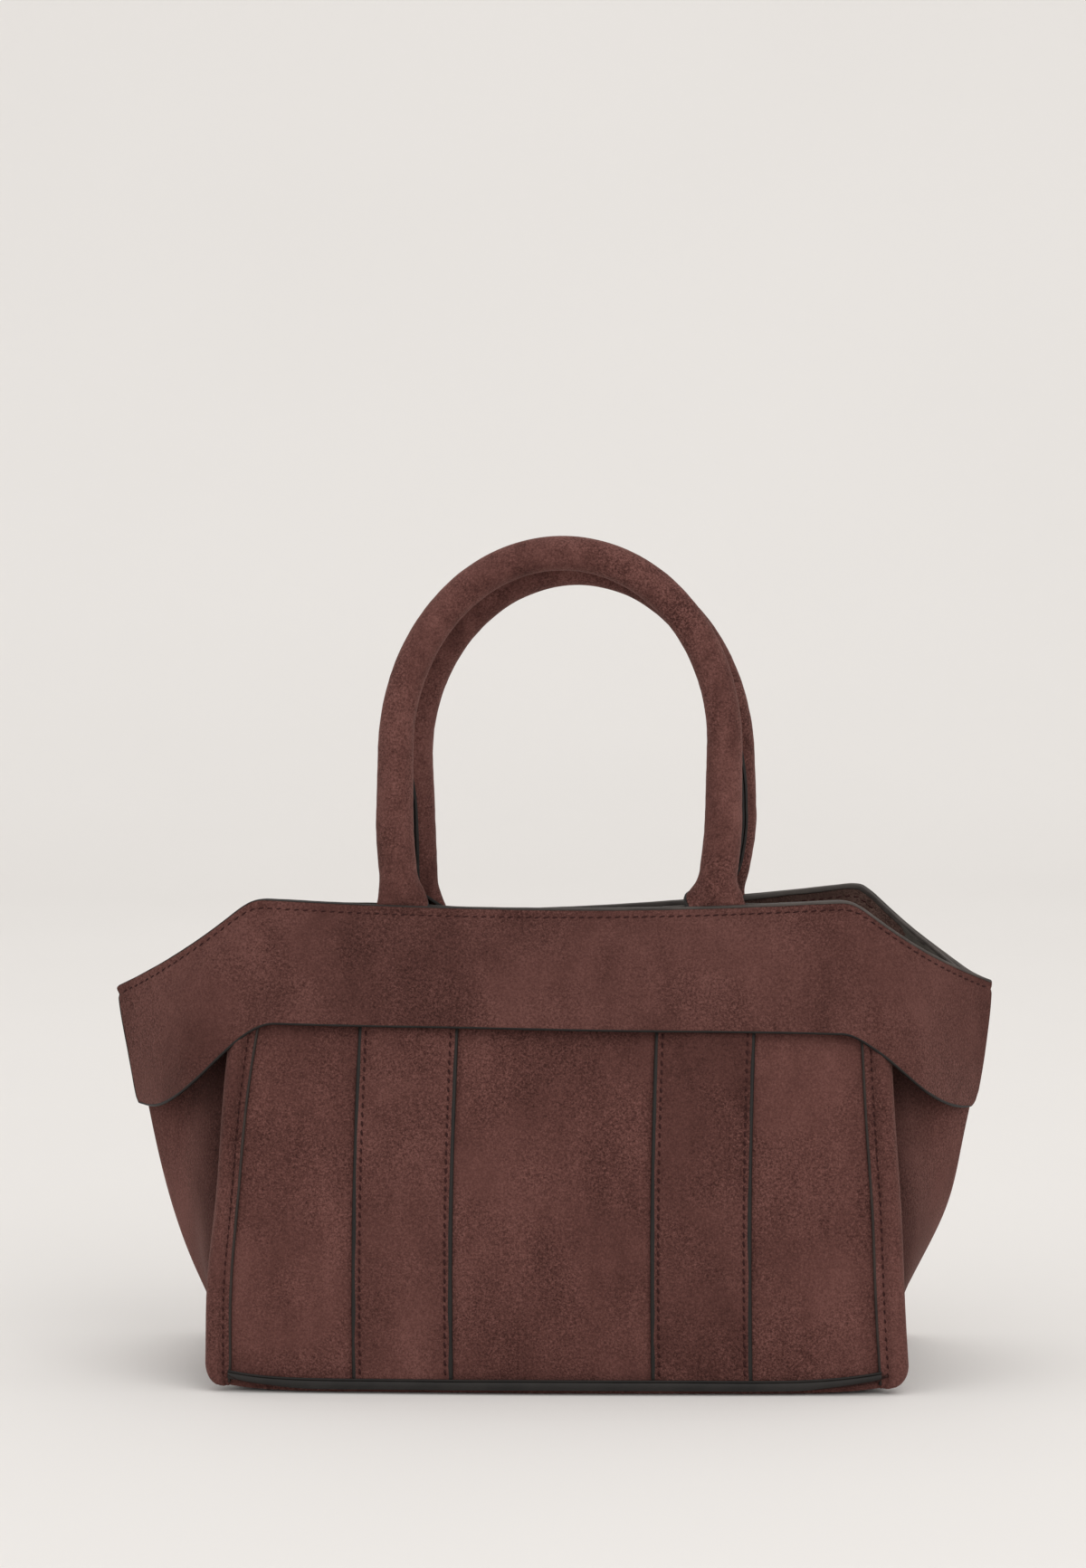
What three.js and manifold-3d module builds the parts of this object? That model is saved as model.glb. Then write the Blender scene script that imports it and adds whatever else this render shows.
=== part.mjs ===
// A soft winged handbag: trapezoid front and back walls, side gussets that open into wings, a deep collar
// round the rim, and two rolled handles that swing on sewn-in tabs.
// Millimetres. X runs to the right, Y to the back and Z up, from the middle of the base.
import * as THREE from "three";
import { mergeVertices } from "three/addons/utils/BufferGeometryUtils.js";
import Module from "manifold-3d";

const wasm = await Module();
wasm.setup();
const { lerp, clamp, smoothstep } = THREE.MathUtils;

// Body
const TIP_HALF_SPAN = 150; // centre to the tip of a side wing
const TIP_TOP = 131.5; // height of the rim at the wing tips
const TIP_BOTTOM = 91; // height of the collar's lower corner at the wing tips
const WING_BASE_INSET = 11; // how far inside the base's bound edges the wings draw in
const WING_CURVE = 1.63; // how soon the wings draw in below the tips: 1 is a straight line
const RIM_HEIGHT = 163; // height of the rim at the shoulders
const RIM_DIP = 3.5; // sag of the rim between the shoulders
const SHOULDER_X = 101.5; // centre to a shoulder, where the rim turns down to the tip
const SHOULDER_ROUND = 6; // length over which the rim turns at a shoulder
const BASE_HALF_WIDTH = 117; // centre to the bound edge of the front wall, at the base
const RIM_HALF_WIDTH = 108; // the same at the rim
const BASE_HALF_DEPTH = 53; // centre to the inside of the front wall, at the base
const RIM_HALF_DEPTH = 22; // the same at the rim
const WALL_LEAN_SHARE = 0.35; // part of the wall's lean that stays at the rim and at the base
const BASE_BOW = 3; // forward bow of the base's front edge
const BELLY = 4; // bulge of the walls at mid height
const PINCH = 4; // how far the mouth is drawn in at its centre
const BASE_LIFT = 2.5; // rise of the base towards its ends
const BASE_FLAT_X = 60; // half length of the flat that the bag stands on

// Material thicknesses and clearances
const PANEL_T = 1.6;
const GUSSET_T = 1.4;
const STRIP_T = 1.4;
const BINDING_T = 1.2;
const COLLAR_T = 1.6;
const FACING_T = 1.2;
const STIFFENER_T = 1.2;
const LINING_T = 0.6;
const BOARD_T = 2;
const SEAM_GAP = 0.35; // clearance between layers that are sewn together
const COLLAR_EASE = 0.6; // slack of the collar over what it covers
const LINING_EASE = 0.7; // slack of the lining and the facing inside the gussets

// Collar and facing
const COLLAR_BOTTOM = 120.5; // height of the collar's free lower edge across the wall
const COLLAR_DROP_START = 94; // where that edge starts to fall towards a tip
const COLLAR_DROP_END = 141; // where it reaches the tip's height
const COLLAR_CORNER_REACH = 7; // how far the collar's corner stands out past the bound edge
const COLLAR_RIM_REACH = 1.5; // the same at the rim, where the collar is drawn in
const COLLAR_CORNER_ROUND = 11; // length over which the collar turns at that corner
const FACING_BELOW = 7; // how far the facing reaches below the tabs and the snap
const FACING_TUCK = 4; // overlap of the lining behind the facing
const RIM_STEP = 2.2; // how far the covered layers stop below the collar's top edge
const FACING_STEP = 0.5; // how far the facing stops below it

// Strips, bindings and base edge
const STRIP_INNER_X = 33; // centre to a strip's inner edge
const STRIP_WIDTH = 33;
const STRIP_TOP_STEP = 8; // how far a strip's hidden end stops below the rim
const FLANGE = 10; // width of the sewn flange along each upright edge
const RIM_FLANGE = 4; // what is left of it at the rim
const BINDING_WIDTH = 10.5; // width of the binding on the wall's face
const BINDING_RETURN = 7; // width of the binding behind the flange
const BINDING_TOP = 132; // height of the binding's hidden end
const BINDING_FOOT = 0.8; // clearance of the binding's foot above the base's underside
const BEND_R = 2.5; // inside radius of the gusset where it leaves the flange
const KEEL_ROUND = 0.8; // how much the gusset's outer fold is rounded off
const KEEL_RUN = 3.5; // length of that rounding along the side
const PIPING_HEIGHT = 4;
const PIPING_DEPTH = 3;
const PIPING_ROUND = 0.9;

// Handles
const HANDLE_D = 12; // outside diameter of the rolled handle
const HANDLE_T = 1.8; // thickness of the strip that it is rolled from
const HANDLE_HALF_SPAN = 54.5; // centre to the middle of a leg
const HANDLE_RISE = 114; // fold line of the tabs to the middle of the handle's top
const ARCH_RISE = 62; // height of the arch above the straight legs
const HANDLE_TOP_GAP = 2.4; // space left between the two handles where they lean together
const HANDLE_SEAM = 0.5; // slit where the rolled edges meet
const CORE_EASE = 0.5; // clearance of the core inside the roll
const CORE_END_GAP = 1; // how far the core stops short of where the roll opens
const TAB_WIDTH = 20;
const TAB_DEPTH = 24; // how far a tab reaches down behind the rim
const TAB_FOLD_RISE = 6; // height of the fold line above the rim
const TAB_FOLD_GAP = 1.6; // free length left below the fold line
const ROLL_END_GAP = 0.4; // free length left above it
const TAB_CURL = 1.1; // angle, in radians, that the strip is curled through at the fold
const UNROLL_LENGTH = 12; // length over which the roll opens out into the tab
const ROLL_STANDOFF = 3; // how far the roll stands out in front of the tab

// Magnetic snap
const SNAP_R = 9;
const SNAP_DROP = 20; // rim to the middle of the snap
const SNAP_SEAT_GAP = 0.45; // clearance between the snap and the facing
const SNAP_BEVEL = 0.6;
const SOCKET_T = 3;
const STUD_T = 2;
const POST_R = 3;
const POST_LENGTH = 2;
const POST_EASE = 0.3; // clearance of the stud's post in the socket
const WASHER_T = 0.7;
const PRONG_WIDTH = 4;
const PRONG_T = 0.6;
const PRONG_X = 4; // centre of the snap to a prong
const PRONG_FOLD = 2.6; // length of a prong's folded end
const PRONG_ROOT = 0.2; // how far a prong is let into its disc

// Layers of a wall, measured outwards from the inside face of the panel
const TRIM_IN = PANEL_T + SEAM_GAP;
const COLLAR_IN = TRIM_IN + Math.max(STRIP_T, BINDING_T) + COLLAR_EASE;
const COLLAR_OUT = COLLAR_IN + COLLAR_T;
const EDGE_INSET = BINDING_T + SEAM_GAP; // panel and flange stop short inside the binding's fold
// Layers behind it, measured inwards
const TAB_OUT = SEAM_GAP;
const TAB_IN = TAB_OUT + HANDLE_T;
const STIFFENER_IN = SEAM_GAP + STIFFENER_T;
const LINING_OUT = STIFFENER_IN + SEAM_GAP;
const LINING_IN = LINING_OUT + LINING_T;
const WASHER_OUT = SEAM_GAP + PRONG_T + SEAM_GAP;
const FACING_OUT = Math.max(TAB_IN, LINING_IN, WASHER_OUT + WASHER_T) + SEAM_GAP;
const FACING_IN = FACING_OUT + FACING_T;
// Depths below the rim
const HIDDEN_DEPTH = Math.max(TAB_DEPTH, SNAP_DROP + SNAP_R); // taken up by the tabs and the snap
const FACING_DEPTH = HIDDEN_DEPTH + FACING_BELOW;
const LINING_DEPTH = FACING_DEPTH - FACING_TUCK;
// Heights of the layers on the base
const BOARD_BOTTOM = PANEL_T + SEAM_GAP;
const LINING_FLOOR = BOARD_BOTTOM + BOARD_T + SEAM_GAP;
const PIPING_TOP = SEAM_GAP + PIPING_HEIGHT;

// Even fractions from 0 to 1.
function fractions(count) {
  return Array.from({ length: count + 1 }, (_, i) => i / count);
}

// Outline of the bag

// Half width of the front wall, to its bound edge.
function halfWidth(z) {
  return lerp(BASE_HALF_WIDTH, RIM_HALF_WIDTH, z / RIM_HEIGHT);
}

// Depth of the front wall at its upright edges: it leans in fastest at mid height.
function edgeDepth(z) {
  const t = z / RIM_HEIGHT;
  const lean = WALL_LEAN_SHARE * t + (1 - WALL_LEAN_SHARE) * smoothstep(t, 0, 1);
  return lerp(BASE_HALF_DEPTH, RIM_HALF_DEPTH, lean);
}

// Depth of the inside of the front wall: bowed at the base, bellied in the middle, pinched at the mouth.
function wallDepth(x, z) {
  const t = clamp(z / RIM_HEIGHT, 0, 1);
  const bulge = BASE_BOW * (1 - t) + BELLY * Math.sin(Math.PI * t) - PINCH * t ** 4;
  return edgeDepth(z) + bulge * Math.max(0, 1 - (x / halfWidth(z)) ** 2);
}

// Height of the rim: a shallow sag between the shoulders, then a straight fall to each tip.
function rimLine(x) {
  const a = Math.abs(x);
  const slope = (RIM_HEIGHT - TIP_TOP) / (TIP_HALF_SPAN - SHOULDER_X);
  const flat = RIM_HEIGHT - RIM_DIP * Math.max(0, 1 - (a / SHOULDER_X) ** 2);
  const fall = RIM_HEIGHT - slope * (a - SHOULDER_X);
  const share = clamp(0.5 + (0.5 * (fall - flat)) / SHOULDER_ROUND, 0, 1);
  return lerp(fall, flat, share) - SHOULDER_ROUND * share * (1 - share);
}

// Height of the collar's free lower edge.
function collarEdge(x) {
  return lerp(COLLAR_BOTTOM, TIP_BOTTOM, smoothstep(Math.abs(x), COLLAR_DROP_START, COLLAR_DROP_END));
}

// Height of the base's underside, which lifts towards the ends.
function baseLift(x) {
  const run = Math.max(0, Math.abs(x) - BASE_FLAT_X) / (BASE_HALF_WIDTH - FLANGE - BASE_FLAT_X);
  return BASE_LIFT * run * run;
}

const rimLess = (step) => (x) => rimLine(x) - step;
const above = (height) => (x) => baseLift(x) + height;

// Reach of a wing from the centre, over the collar.
function wingReach(z) {
  const drawn = (1 - clamp(z / TIP_TOP, 0, 1)) ** WING_CURVE;
  return lerp(TIP_HALF_SPAN, BASE_HALF_WIDTH - WING_BASE_INSET, drawn);
}

// How far up between the binding's end and the rim: the seams are drawn together there.
function drawnIn(z) {
  return smoothstep(z, BINDING_TOP, RIM_HEIGHT);
}

function flangeWidth(z) {
  return lerp(FLANGE, RIM_FLANGE, drawnIn(z));
}

// Direction of the collar from its outside corner, past the bound edge, to the wing's tip.
function collarHeading(z) {
  const cornerX = halfWidth(z) + lerp(COLLAR_CORNER_REACH, COLLAR_RIM_REACH, drawnIn(z));
  const cornerY = -(edgeDepth(z) + COLLAR_OUT);
  return new THREE.Vector2(wingReach(z) - cornerX, -cornerY).normalize();
}

function onCircle(angle, radius) {
  return new THREE.Vector2(Math.cos(angle), Math.sin(angle)).multiplyScalar(radius);
}

// The gusset's inside face: the bend where it leaves the flange, then a straight side to the outer fold.
function gussetSide(z) {
  const root = halfWidth(z) - flangeWidth(z);
  const bend = new THREE.Vector2(root, -wallDepth(root, z) + SEAM_GAP + BEND_R);
  const covered = smoothstep(z, TIP_BOTTOM - FACING_DEPTH, TIP_BOTTOM);
  const underCollar = COLLAR_T / collarHeading(z).y + COLLAR_EASE;
  const reach = wingReach(z) - underCollar * covered;
  const slope = Math.atan2(-bend.y, reach - bend.x);
  const keel = new THREE.Vector2(reach - GUSSET_T / Math.sin(slope), 0);
  const run = keel.clone().sub(bend);
  const leave = run.angle() + Math.acos(BEND_R / run.length()) - 2 * Math.PI;
  const start = onCircle(leave, BEND_R).add(bend);
  return { bend, leave, start, keel, heading: keel.clone().sub(start).normalize() };
}

// Plan lines. Each gives a face of a piece at height z as points from left to right, or front to back.

function mirrored(half) {
  const left = half.slice(1).reverse();
  return [...left.map((p) => new THREE.Vector2(-p.x, p.y)), ...half];
}

// Part of the front wall between two edges, which are functions of height.
function wallPlan(fromX, toX, columns) {
  return (z, out) =>
    fractions(columns).map((f) => {
      const x = lerp(fromX(z), toX(z), f);
      return new THREE.Vector2(x, -(wallDepth(x, z) + out));
    });
}

// A line along the front wall, round a corner and straight to the wing's fold.
function wingPlan(z, out, fold, heading, round, endGap) {
  const frontY = (x) => -(wallDepth(x, z) + out);
  const cornerAt = (y) => fold + (y / heading.y) * heading.x;
  const nearCorner = cornerAt(-(edgeDepth(z) + out));
  const corner = new THREE.Vector2(cornerAt(frontY(nearCorner)), frontY(nearCorner));
  const front = fractions(4).map((f) => {
    const x = f * (corner.x - round);
    return new THREE.Vector2(x, frontY(x));
  });
  const sideStart = heading.clone().multiplyScalar(round).add(corner);
  const turn = new THREE.QuadraticBezierCurve(front[front.length - 1], corner, sideStart).getPoints(3);
  const end = new THREE.Vector2(cornerAt(-endGap), -endGap);
  const side = fractions(3).map((f) => sideStart.clone().lerp(end, f));
  return mirrored([...front, ...turn.slice(1), ...side.slice(1)]);
}

// The collar's face at a distance out from the wall.
function collarPlan(z, out) {
  const heading = collarHeading(z);
  const fold = wingReach(z) - (COLLAR_OUT - out) / heading.y;
  return wingPlan(z, out, fold, heading, COLLAR_CORNER_ROUND, SEAM_GAP);
}

// A face that lines the inside: some way behind the wall, and some way inside the gusset.
function insidePlan(z, behindWall, insideGusset, endGap) {
  const { keel, heading } = gussetSide(z);
  const fold = keel.x - KEEL_ROUND - insideGusset / heading.y;
  return wingPlan(z, -behindWall, fold, heading, BEND_R * 2, endGap);
}

// The right gusset, from its front flange to its back one. Outwards is to the right of travel.
function gussetPlan(z, out) {
  const { bend, leave, start, keel } = gussetSide(z);
  const edge = halfWidth(z) - EDGE_INSET;
  const flangeEnd = new THREE.Vector2(edge, -wallDepth(edge, z) + SEAM_GAP + out);
  const bent = fractions(3).map((f) => onCircle(lerp(-Math.PI / 2, leave, f), BEND_R - out).add(bend));
  const beforeFold = 1 - KEEL_RUN / start.distanceTo(keel);
  const side = [beforeFold / 3, (beforeFold * 2) / 3, beforeFold].map((f) =>
    start.clone().lerp(keel, f).add(onCircle(leave, -out)),
  );
  const fold = new THREE.Vector2(keel.x - KEEL_ROUND + out, 0);
  const half = [flangeEnd, ...bent, ...side];
  return [...half, fold, ...half.map((p) => new THREE.Vector2(p.x, -p.y)).reverse()];
}

// Solids

// Welds loose triangles into one closed geometry, with its faces turned out.
function weld(triangles) {
  const merged = mergeVertices(new THREE.BufferGeometry().setFromPoints(triangles.flat()), 1e-4);
  const at = merged.attributes.position;
  const corners = [new THREE.Vector3(), new THREE.Vector3(), new THREE.Vector3()];
  const faces = [];
  let volume = 0;
  for (let i = 0; i < merged.index.count; i += 3) {
    const face = [0, 1, 2].map((k) => merged.index.getX(i + k));
    if (new Set(face).size < 3) continue;
    face.forEach((id, k) => corners[k].fromBufferAttribute(at, id));
    volume += corners[0].dot(corners[1].clone().cross(corners[2]));
    faces.push(face);
  }
  const outward = volume > 0 ? faces : faces.map(([a, b, c]) => [a, c, b]);
  return new THREE.BufferGeometry().setAttribute("position", at).setIndex(outward.flat());
}

// Triangles of a grid of points, [row][column].
function grid(points, flip = false) {
  const made = [];
  for (let r = 0; r + 1 < points.length; r++) {
    for (let c = 0; c + 1 < points[r].length; c++) {
      const quad = [points[r][c], points[r][c + 1], points[r + 1][c + 1], points[r + 1][c]];
      if (flip) quad.reverse();
      made.push([quad[0], quad[1], quad[2]], [quad[0], quad[2], quad[3]]);
    }
  }
  return made;
}

// Closed solid between two faces, each a grid of points of the same size.
function slab(outer, inner) {
  const lastRow = outer.length - 1;
  const lastColumn = outer[0].length - 1;
  const rowEdge = (r) => [outer[r], inner[r]];
  const columnEdge = (c) => outer.map((row, r) => [row[c], inner[r][c]]);
  return weld([
    ...grid(outer),
    ...grid(inner, true),
    ...grid(rowEdge(0), true),
    ...grid(rowEdge(lastRow)),
    ...grid(columnEdge(0), true),
    ...grid(columnEdge(lastColumn)),
  ]);
}

// Grid of a face whose columns run between two heights, which depend on where the column stands.
function faceGrid(plan, out, middle, low, high, rows) {
  const columns = plan(0, out).length;
  const settleRounds = 12;
  const settle = (c, limit) => {
    let z = 0;
    for (let i = 0; i < settleRounds; i++) z = limit(plan(z, middle)[c].x);
    return z;
  };
  const ends = Array.from({ length: columns }, (_, c) => [settle(c, low), settle(c, high)]);
  return fractions(rows).map((f) =>
    ends.map(([bottom, top], c) => {
      const z = lerp(bottom, top, f);
      const p = plan(z, out)[c];
      return new THREE.Vector3(p.x, p.y, z);
    }),
  );
}

// A sheet that follows a plan line between two heights, with its faces at two distances out.
function sheet(plan, inner, outer, low, high, rows) {
  const middle = (inner + outer) / 2;
  const face = (out) => faceGrid(plan, out, middle, low, high, rows);
  return slab(face(outer), face(inner));
}

// Closed solid through a row of like sections, each a flat ring of points.
function loft(sections) {
  const rings = sections.map((ring) => [...ring, ring[0]]);
  const cap = (ring, flip) => {
    const area = new THREE.Vector3();
    ring.forEach((p, i) => area.add(p.clone().cross(ring[(i + 1) % ring.length])));
    const u = ring[1].clone().sub(ring[0]).normalize();
    const v = area.normalize().cross(u);
    const flat = ring.map((p) => new THREE.Vector2(p.dot(u), p.dot(v)));
    const faces = THREE.ShapeUtils.triangulateShape(flat, []);
    return faces.map(([a, b, c]) => (flip ? [ring[a], ring[c], ring[b]] : [ring[a], ring[b], ring[c]]));
  };
  return weld([...grid(rings), ...cap(sections[0], true), ...cap(sections[sections.length - 1], false)]);
}

function toSolid(geometry) {
  const bare = new THREE.BufferGeometry().setAttribute("position", geometry.attributes.position);
  const merged = mergeVertices(bare.setIndex(geometry.index), 1e-4);
  const vertProperties = new Float32Array(merged.attributes.position.array);
  const triVerts = new Uint32Array(merged.index.array);
  return new wasm.Manifold(new wasm.Mesh({ numProp: 3, vertProperties, triVerts }));
}

function fromSolid(solid) {
  const mesh = solid.getMesh();
  return new THREE.BufferGeometry()
    .setAttribute("position", new THREE.BufferAttribute(mesh.vertProperties, 3))
    .setIndex(new THREE.BufferAttribute(mesh.triVerts, 1));
}

function cut(geometry, tools) {
  return fromSolid(tools.reduce((solid, tool) => solid.subtract(toSolid(tool)), toSolid(geometry)));
}

function join(geometry, others) {
  return fromSolid(others.reduce((solid, other) => solid.add(toSolid(other)), toSolid(geometry)));
}

// Materials

function finish(color, roughness, metalness = 0) {
  return new THREE.MeshStandardMaterial({ color, roughness, metalness });
}

const SUEDE = { color: 0x5a3a34, roughness: 0.95 };
const EDGE_PAINT = { color: 0x34302e, roughness: 0.45 };
const LINING_CLOTH = { color: 0x2b2322, roughness: 0.85 };
const BOARD = { color: 0x8a7a68, roughness: 0.9 };
const CORD = { color: 0xb8ab98, roughness: 0.9 };
const STEEL = { color: 0x9a9488, roughness: 0.35, metalness: 0.9 };

function piece(name, geometry, { color, roughness, metalness }) {
  const mesh = new THREE.Mesh(geometry, finish(color, roughness, metalness));
  mesh.name = name;
  return mesh;
}

// Pieces of the front half. The back half is the same, turned half way round.

function panel() {
  const edge = (z) => halfWidth(z) - EDGE_INSET;
  const plan = wallPlan((z) => -edge(z), edge, 12);
  return sheet(plan, 0, PANEL_T, above(SEAM_GAP), rimLess(RIM_STEP), 10);
}

function stiffener() {
  const edge = (z) => halfWidth(z) - flangeWidth(z) - BEND_R - SEAM_GAP;
  const plan = wallPlan((z) => -edge(z), edge, 8);
  return sheet(plan, -STIFFENER_IN, -SEAM_GAP, above(LINING_FLOOR), rimLess(HIDDEN_DEPTH + SEAM_GAP), 8);
}

function strip(sign) {
  const from = Math.min(sign * STRIP_INNER_X, sign * (STRIP_INNER_X + STRIP_WIDTH));
  const plan = wallPlan(() => from, () => from + STRIP_WIDTH, 2);
  const foot = above(PIPING_TOP + SEAM_GAP);
  return sheet(plan, TRIM_IN, TRIM_IN + STRIP_T, foot, rimLess(STRIP_TOP_STEP), 10);
}

function collar() {
  return sheet(collarPlan, COLLAR_IN, COLLAR_OUT, collarEdge, rimLine, 5);
}

// The facing lines the inside of the rim, and has two slits for the prongs of the snap.
function facing() {
  const besideGusset = 2 * LINING_EASE + LINING_T;
  const plan = (z, out) => insidePlan(z, -out, besideGusset - out - FACING_OUT, SEAM_GAP);
  const band = sheet(plan, -FACING_IN, -FACING_OUT, rimLess(FACING_DEPTH), rimLess(FACING_STEP), 4);
  return cut(band, prongSlots().map(seated));
}

// A folded strip round the flange: along the wall's face, round its edge and back behind the gusset.
function binding(sign) {
  const front = TRIM_IN + BINDING_T;
  const behind = -(SEAM_GAP + GUSSET_T + SEAM_GAP + BINDING_T);
  const bevel = BINDING_T / 2;
  const section = (z) => {
    const edge = halfWidth(z);
    const outline = [
      [edge - BINDING_WIDTH, front],
      [edge - bevel, front],
      [edge, front - bevel],
      [edge, behind + bevel],
      [edge - bevel, behind],
      [edge - BINDING_RETURN, behind],
      [edge - BINDING_RETURN, behind + BINDING_T],
      [edge - BINDING_T, behind + BINDING_T],
      [edge - BINDING_T, front - BINDING_T],
      [edge - BINDING_WIDTH, front - BINDING_T],
    ];
    return outline.map(([x, out]) => new THREE.Vector3(sign * x, -(wallDepth(x, z) + out), z));
  };
  const foot = baseLift(BASE_HALF_WIDTH - FLANGE) + BINDING_FOOT;
  return loft(fractions(8).map((f) => section(lerp(foot, BINDING_TOP, f))));
}

// The thick painted edge along the foot of the wall.
function basePiping() {
  const end = halfWidth(PIPING_TOP + BASE_LIFT) - BINDING_WIDTH - SEAM_GAP;
  const [near, far] = [TRIM_IN, TRIM_IN + PIPING_DEPTH];
  const [low, high] = [SEAM_GAP, PIPING_TOP];
  const outline = [
    [near, low],
    [far - PIPING_ROUND, low],
    [far, low + PIPING_ROUND],
    [far, high - PIPING_ROUND],
    [far - PIPING_ROUND, high],
    [near, high],
  ];
  const section = (x) =>
    outline.map(([out, z]) => new THREE.Vector3(x, -(wallDepth(x, z) + out), z + baseLift(x)));
  return loft(fractions(14).map((f) => section(lerp(-end, end, f))));
}

// Handles

const ROLL_R = (HANDLE_D - HANDLE_T) / 2;
const ROLL_ANGLE = 2 * Math.PI - HANDLE_SEAM / ROLL_R;
const ROLL_DEPTH = ROLL_R - ROLL_STANDOFF; // middle of the roll behind the tab
const LEG_RISE = HANDLE_RISE - ARCH_RISE;
const FOLD_Z = rimLine(HANDLE_HALF_SPAN) + TAB_FOLD_RISE;
const FOLD_Y = -(wallDepth(HANDLE_HALF_SPAN, FOLD_Z) - (TAB_OUT + TAB_IN) / 2);
const HANDLE_LEAN = Math.asin((-FOLD_Y - ROLL_DEPTH - (HANDLE_D + HANDLE_TOP_GAP) / 2) / HANDLE_RISE);

// The flat sewn-in end of a handle, from below the rim up to its fold.
function handleTab(sign) {
  const from = sign * HANDLE_HALF_SPAN - TAB_WIDTH / 2;
  const plan = wallPlan(() => from, () => from + TAB_WIDTH, 2);
  return sheet(plan, -TAB_IN, -TAB_OUT, rimLess(TAB_DEPTH), () => FOLD_Z - TAB_FOLD_GAP, 3);
}

// Stations along the handle in its own plane: place, outward direction, and how far the strip is rolled up.
function handleStations(legHeights) {
  const leg = legHeights.map((z) => ({
    at: new THREE.Vector2(-HANDLE_HALF_SPAN, z),
    out: new THREE.Vector2(-1, 0),
    rolled: smoothstep(z, ROLL_END_GAP, UNROLL_LENGTH),
  }));
  const arch = fractions(14).map((f) => {
    const angle = Math.PI * (1 - f);
    const [across, up] = [Math.cos(angle), Math.sin(angle)];
    return {
      at: new THREE.Vector2(HANDLE_HALF_SPAN * across, LEG_RISE + ARCH_RISE * up),
      out: new THREE.Vector2(across / HANDLE_HALF_SPAN, up / ARCH_RISE).normalize(),
      rolled: 1,
    };
  });
  const otherLeg = leg.map(({ at, out, rolled }) => ({
    at: new THREE.Vector2(-at.x, at.y),
    out: new THREE.Vector2(-out.x, out.y),
    rolled,
  }));
  return [...leg, ...arch, ...otherLeg.reverse()];
}

// The cover is a strip, flat at the tabs, that curls up into a closed roll with its seam to the bag's inside.
function handleCover() {
  const opening = fractions(4).map((f) => lerp(ROLL_END_GAP, UNROLL_LENGTH, f));
  const stations = handleStations([...opening, (UNROLL_LENGTH + LEG_RISE) / 2]);
  const face = (offset) =>
    stations.map(({ at, out, rolled }) => {
      const angle = lerp(TAB_CURL, ROLL_ANGLE, rolled);
      const radius = lerp(TAB_WIDTH, ROLL_R * ROLL_ANGLE, rolled) / angle;
      const middle = radius - ROLL_STANDOFF * rolled;
      return fractions(10).map((f) => {
        const turn = angle * (f - 0.5);
        const sideways = (radius + offset) * Math.sin(turn);
        const depth = middle - (radius + offset) * Math.cos(turn);
        return new THREE.Vector3(at.x + out.x * sideways, depth, at.y + out.y * sideways);
      });
    });
  return slab(face(HANDLE_T / 2), face(-HANDLE_T / 2));
}

// The cord that fills the roll.
function handleCore() {
  const radius = ROLL_R - HANDLE_T / 2 - CORE_EASE;
  const ends = UNROLL_LENGTH + CORE_END_GAP;
  const turns = fractions(8).slice(1);
  const ring = ({ at, out }) =>
    turns.map((f) => {
      const sideways = radius * Math.cos(2 * Math.PI * f);
      const depth = ROLL_DEPTH + radius * Math.sin(2 * Math.PI * f);
      return new THREE.Vector3(at.x + out.x * sideways, depth, at.y + out.y * sideways);
    });
  return loft(handleStations([ends, (ends + LEG_RISE) / 2]).map(ring));
}

function handle(side) {
  const made = new THREE.Group();
  made.position.set(0, FOLD_Y, FOLD_Z);
  made.rotation.x = -HANDLE_LEAN;
  made.add(piece(`${side}_handle_cover`, handleCover(), SUEDE));
  made.add(piece(`${side}_handle_core`, handleCore(), CORD));
  return made;
}

// Magnetic snap on the inside of the facings. It is drawn facing +Z and then stood up against the facing.

const SNAP_Z = rimLine(0) - SNAP_DROP;
const SNAP_Y = -(wallDepth(0, SNAP_Z) - FACING_IN - SNAP_SEAT_GAP);
const SNAP_LEAN = Math.atan((wallDepth(0, SNAP_Z - SNAP_R) - wallDepth(0, SNAP_Z + SNAP_R)) / (2 * SNAP_R));
const PRONG_REACH = SNAP_SEAT_GAP + FACING_IN - WASHER_OUT + SEAM_GAP;

function block(width, height, depth, x, z) {
  return new THREE.BoxGeometry(width, height, depth).translate(x, 0, z);
}

function disc(radius, bottom, top, bevel) {
  const profile = [
    [0, bottom],
    [radius, bottom],
    [radius, top - bevel],
    [radius - bevel, top],
    [0, top],
  ];
  const points = profile.map(([r, z]) => new THREE.Vector2(r, z));
  return new THREE.LatheGeometry(points, 18).rotateX(Math.PI / 2);
}

// Two prongs that go through the facing and the washer and fold outwards behind it.
function prongs() {
  const length = PRONG_ROOT + PRONG_REACH + PRONG_T;
  const foldX = PRONG_X - PRONG_T / 2 + PRONG_FOLD / 2;
  return [-1, 1].flatMap((sign) => [
    block(PRONG_T, PRONG_WIDTH, length, sign * PRONG_X, PRONG_ROOT - length / 2),
    block(PRONG_FOLD, PRONG_WIDTH, PRONG_T, sign * foldX, -PRONG_REACH - PRONG_T / 2),
  ]);
}

function prongSlots() {
  const wide = PRONG_T + 2 * SEAM_GAP;
  const tall = PRONG_WIDTH + 2 * SEAM_GAP;
  return [-1, 1].map((sign) => block(wide, tall, 4 * PRONG_REACH, sign * PRONG_X, 0));
}

// Stands a snap piece's geometry against the front facing.
function seated(geometry) {
  const turn = new THREE.Matrix4().makeRotationX(-Math.PI / 2 - SNAP_LEAN);
  const place = new THREE.Matrix4().makeTranslation(0, SNAP_Y, SNAP_Z);
  return geometry.applyMatrix4(turn).applyMatrix4(place);
}

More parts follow.
